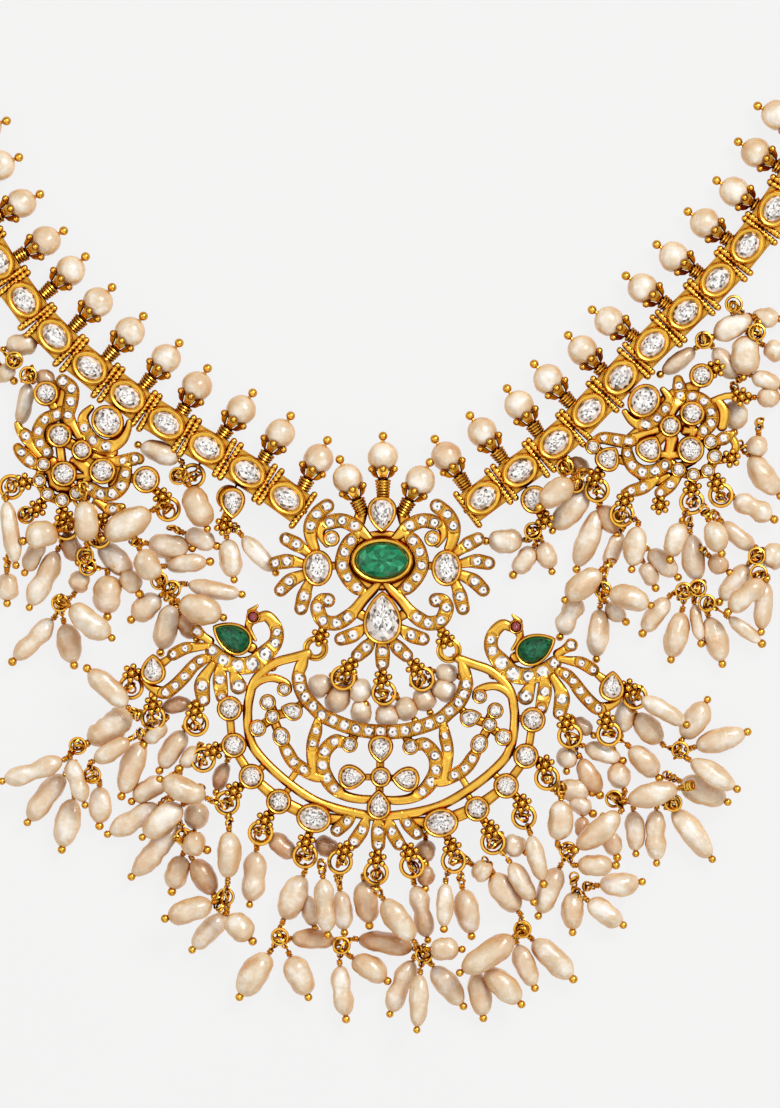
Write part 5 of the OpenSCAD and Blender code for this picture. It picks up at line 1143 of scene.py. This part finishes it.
cluster("left_side", rings_of(left_hangs, [
    [85, 556], [87.6, 567], [159, 581], [172, 589], [60, 603], [26, 515], [178, 476], [14, 360],
    [28, 375]], 1), [
    [6.7, 502, 15.6, 562, 20, 1], [57, 531, 27, 540, 30, 1], [56, 552, 30, 605, 25, 0, 1],
    [99, 545, 130, 574, 25], [107, 576, 107, 613, 33], [71.4, 606.8, 109.4, 635.8, 29, 1],
    [64, 624.6, 73, 662.6, 25], [51.3, 620, 14.5, 659, 23, 0, 1], [85, 502, 87, 541, 28, 1.33, 0, .72, 1],
    [84.5, 573, 75, 591, 23, 0, 0, .6, 1], [190.4, 488, 206.3, 525.7, 31, 1, 0, .55],
    [150, 512, 106, 537, 31, 1], [148.5, 543.5, 188, 548, 26], [141, 551, 157, 578, 27, 1, 0, .72, 1],
    [180.8, 602, 220.7, 616.5, 30, 1], [159, 597, 133, 618, 25], [171.6, 605.4, 161, 649, 25],
    [6.7, 348, 35.7, 341, 26], [0, 366, 11, 378, 23], [27.9, 383.6, 19, 423.8, 18, .1],
    [36, 374, 53, 382, 18, .1, 0, .25], [42, 542, 25.7, 570, 21, .1], [64.7, 533, 77, 560, 22, .1, 0, .3],
    [6.5, 574, 6.5, 600, 25], [177.6, 460, 141, 446, 23, .2], [185.6, 533.6, 214, 545, 22, .1],
    [167, 566, 206, 562, 20, .2], [227, 540, 233.4, 576.7, 24, .1], [243, 537, 273.3, 570.3, 19, .2],
    [188.8, 584.7, 239, 594, 20, .3], [181, 615, 195, 637, 22, 0, 0, .3], [166, 553, 183, 562, 19],
    [123, 573, 137, 591, 23, .2]],
    "left_side_pearls", "left_side_wires")
cluster("right_side", rings_of(right_hangs, [
    [603, 590], [684, 591], [698, 588], [707, 603], [757, 556], [758.7, 573], [565, 467], [576, 484],
    [704, 340], [734, 304], [533, 531], [757, 332]], 4), [
    [571, 481, 542, 505, 26, 1.42, 0, .6], [587, 491, 555, 528, 27], [598, 511, 578, 566, 24],
    [599.3, 571.5, 567, 598, 26, 1], [579.3, 599, 561.7, 634, 26, 0, 1], [600, 610, 596.8, 656.4, 24],
    [621, 533, 608, 566, 19, 0, 0, .72, 1], [637.5, 527.3, 632, 565.5, 24, 1],
    [609.6, 592.7, 648, 604.6, 26, 1], [680.6, 524, 671, 556, 23, 1],
    [691, 535, 698, 580, 24, 0, 0, .72, 1], [709.3, 523, 720.4, 551, 25, 1],
    [724, 523, 754, 549, 20, 0, 0, .72, 1], [747.6, 566, 722, 599, 25],
    [763.5, 581.5, 730, 610, 26, 1, 1], [682, 613, 672, 657, 26], [522, 540, 489, 541, 26, .1],
    [533, 548, 515.5, 572, 22], [542.6, 543, 551, 568, 22], [601.6, 506.5, 616, 532, 22, .1, 0, .3],
    [608, 603.8, 624, 619.7, 19], [571, 460, 588, 470, 17, .1, 0, .2], [644, 564, 654.3, 584.7, 20, .1],
    [650, 551, 675.8, 575, 22, .1], [711, 557, 727, 570, 20, .2, 0, .3],
    [734.8, 498.6, 771.5, 517.7, 26, .1, 1], [751, 457, 779, 493, 27], [758.7, 436, 757, 456, 22, .1],
    [766.7, 583, 762, 629, 20, .1], [730, 618, 760.3, 642, 15, .2], [709.3, 618, 722, 661, 24],
    [695, 605, 701, 640, 15, .3], [668, 599, 644.7, 631, 22, .1], [763, 552, 785, 560, 28, .1],
    [751.8, 318.3, 714.8, 336, 25, .2], [753, 315.7, 778.6, 318.3, 21, .1],
    [694.4, 349, 663.8, 371.8, 19, .1], [714.8, 349, 737.8, 377, 21], [748, 336, 744, 374.4, 31, .1],
    [766, 346, 783, 356, 24], [753, 375.7, 780, 386, 20, .2], [758, 397, 780, 397, 21, .1],
    [735, 401, 735, 429, 26]],
    "right_side_pearls", "right_side_wires")

# ---- String, chain round the back and clasp
# The links are strung on a wire. Past the last link it passes into a fine cable chain of round
# wire links, and a ribbed barrel closes the loop behind the neck.


def bow(a, b, c, d, n):
    """Curve of four points: each weighted by a product of powers of t and 1 - t."""
    t = np.linspace(0, 1, n)[:, None]
    return (1 - t) ** 3 * a + 3 * t * (1 - t) ** 2 * b + 3 * t ** 2 * (1 - t) * c + t ** 3 * d


def chain_links(p, step=1.62):
    """Oval wire links along the points p that lean to either side by turns: each a circle carried
    round an oval that is stretched along the path."""
    run = run_along(p)
    s = np.arange(0.5, run[-1], step)
    c = np.stack([np.interp(s, run, p[:, k]) for k in (0, 1)], -1)
    d = unit(np.stack([np.interp(s + 0.2, run, p[:, k]) - np.interp(s - 0.2, run, p[:, k])
                       for k in (0, 1)], -1))
    t = np.linspace(0, 2 * np.pi, 12, endpoint=False)[:, None]
    q = np.linspace(0, 2 * np.pi, 5, endpoint=False)
    long = np.sign(np.cos(t)) * np.abs(np.cos(t)) ** 0.8 * (0.86 + 0.22 * np.cos(q))
    wide = np.sin(t) * (0.5 + 0.22 * np.cos(q))
    thick = 0.22 * np.sin(q) + 0 * t
    a = np.where(np.arange(len(s)) % 2, 0.75, -0.75)[:, None, None]
    x, y = wide * np.cos(a) - thick * np.sin(a), wide * np.sin(a) + thick * np.cos(a)
    p = np.stack([c[:, 0, None, None] + long * d[:, 0, None, None] - x * d[:, 1, None, None],
                  c[:, 1, None, None] + long * d[:, 1, None, None] + x * d[:, 0, None, None],
                  STRING_Z + y], -1)
    return shells(p, True)


CLASP_Y, CLASP_END = 150.0, 4.6  # how far up the clasp lies, and where the chain meets it
PAST = 1.2  # run of the string past the last link
for side, (joint, _, way, _), s in (("left", left_arm, -1), ("right", right_arm, 1)):
    d = way[-1]
    a, f = joint[-1] + d * PAST, np.array([s * CLASP_END, CLASP_Y])
    path = np.vstack([joint[-1] + d * 0.4, bow(a, a + d * 40, f + [s * 50, 0], f, 90), f - [s * 1.2, 0]])
    string = np.vstack([joint[0] - way[0] * 0.1, joint, a])
    string = np.column_stack([string, np.full(len(string), STRING_Z)])
    gilt(side + "_chain_links", [chain_links(path), rods(string[:-1], string[1:], 0.24, 6)],
         side + "_chain")
# along the barrel: its end caps, and between them twelve grooves half a millimetre apart
grooves = [k * 0.5 + j for k in range(-6, 6) for j in (0.05, 0.25)]
x = np.array([-4.5, -4.5, -4.3, -4.1, -3.9, -3.7, -3.5] + grooves
             + [3.2, 3.5, 3.7, 3.9, 4.1, 4.3, 4.5, 4.5])
r = np.array([0, 1.0, 1.22, 1.22, 0.95, 0.95, 1.22] + [1.1, 1.22] * 12
             + [1.22, 1.22, 0.95, 0.95, 1.22, 1.22, 1.0, 0])
t = np.linspace(0, 2 * np.pi, 24, endpoint=False)
barrel = np.stack([x[:, None] + 0 * t, CLASP_Y + r[:, None] * np.cos(t),
                   STRING_Z + r[:, None] * np.sin(t)], -1)
gilt("barrel_clasp", [shells(barrel[None])], "clasp", sharp=0.5)
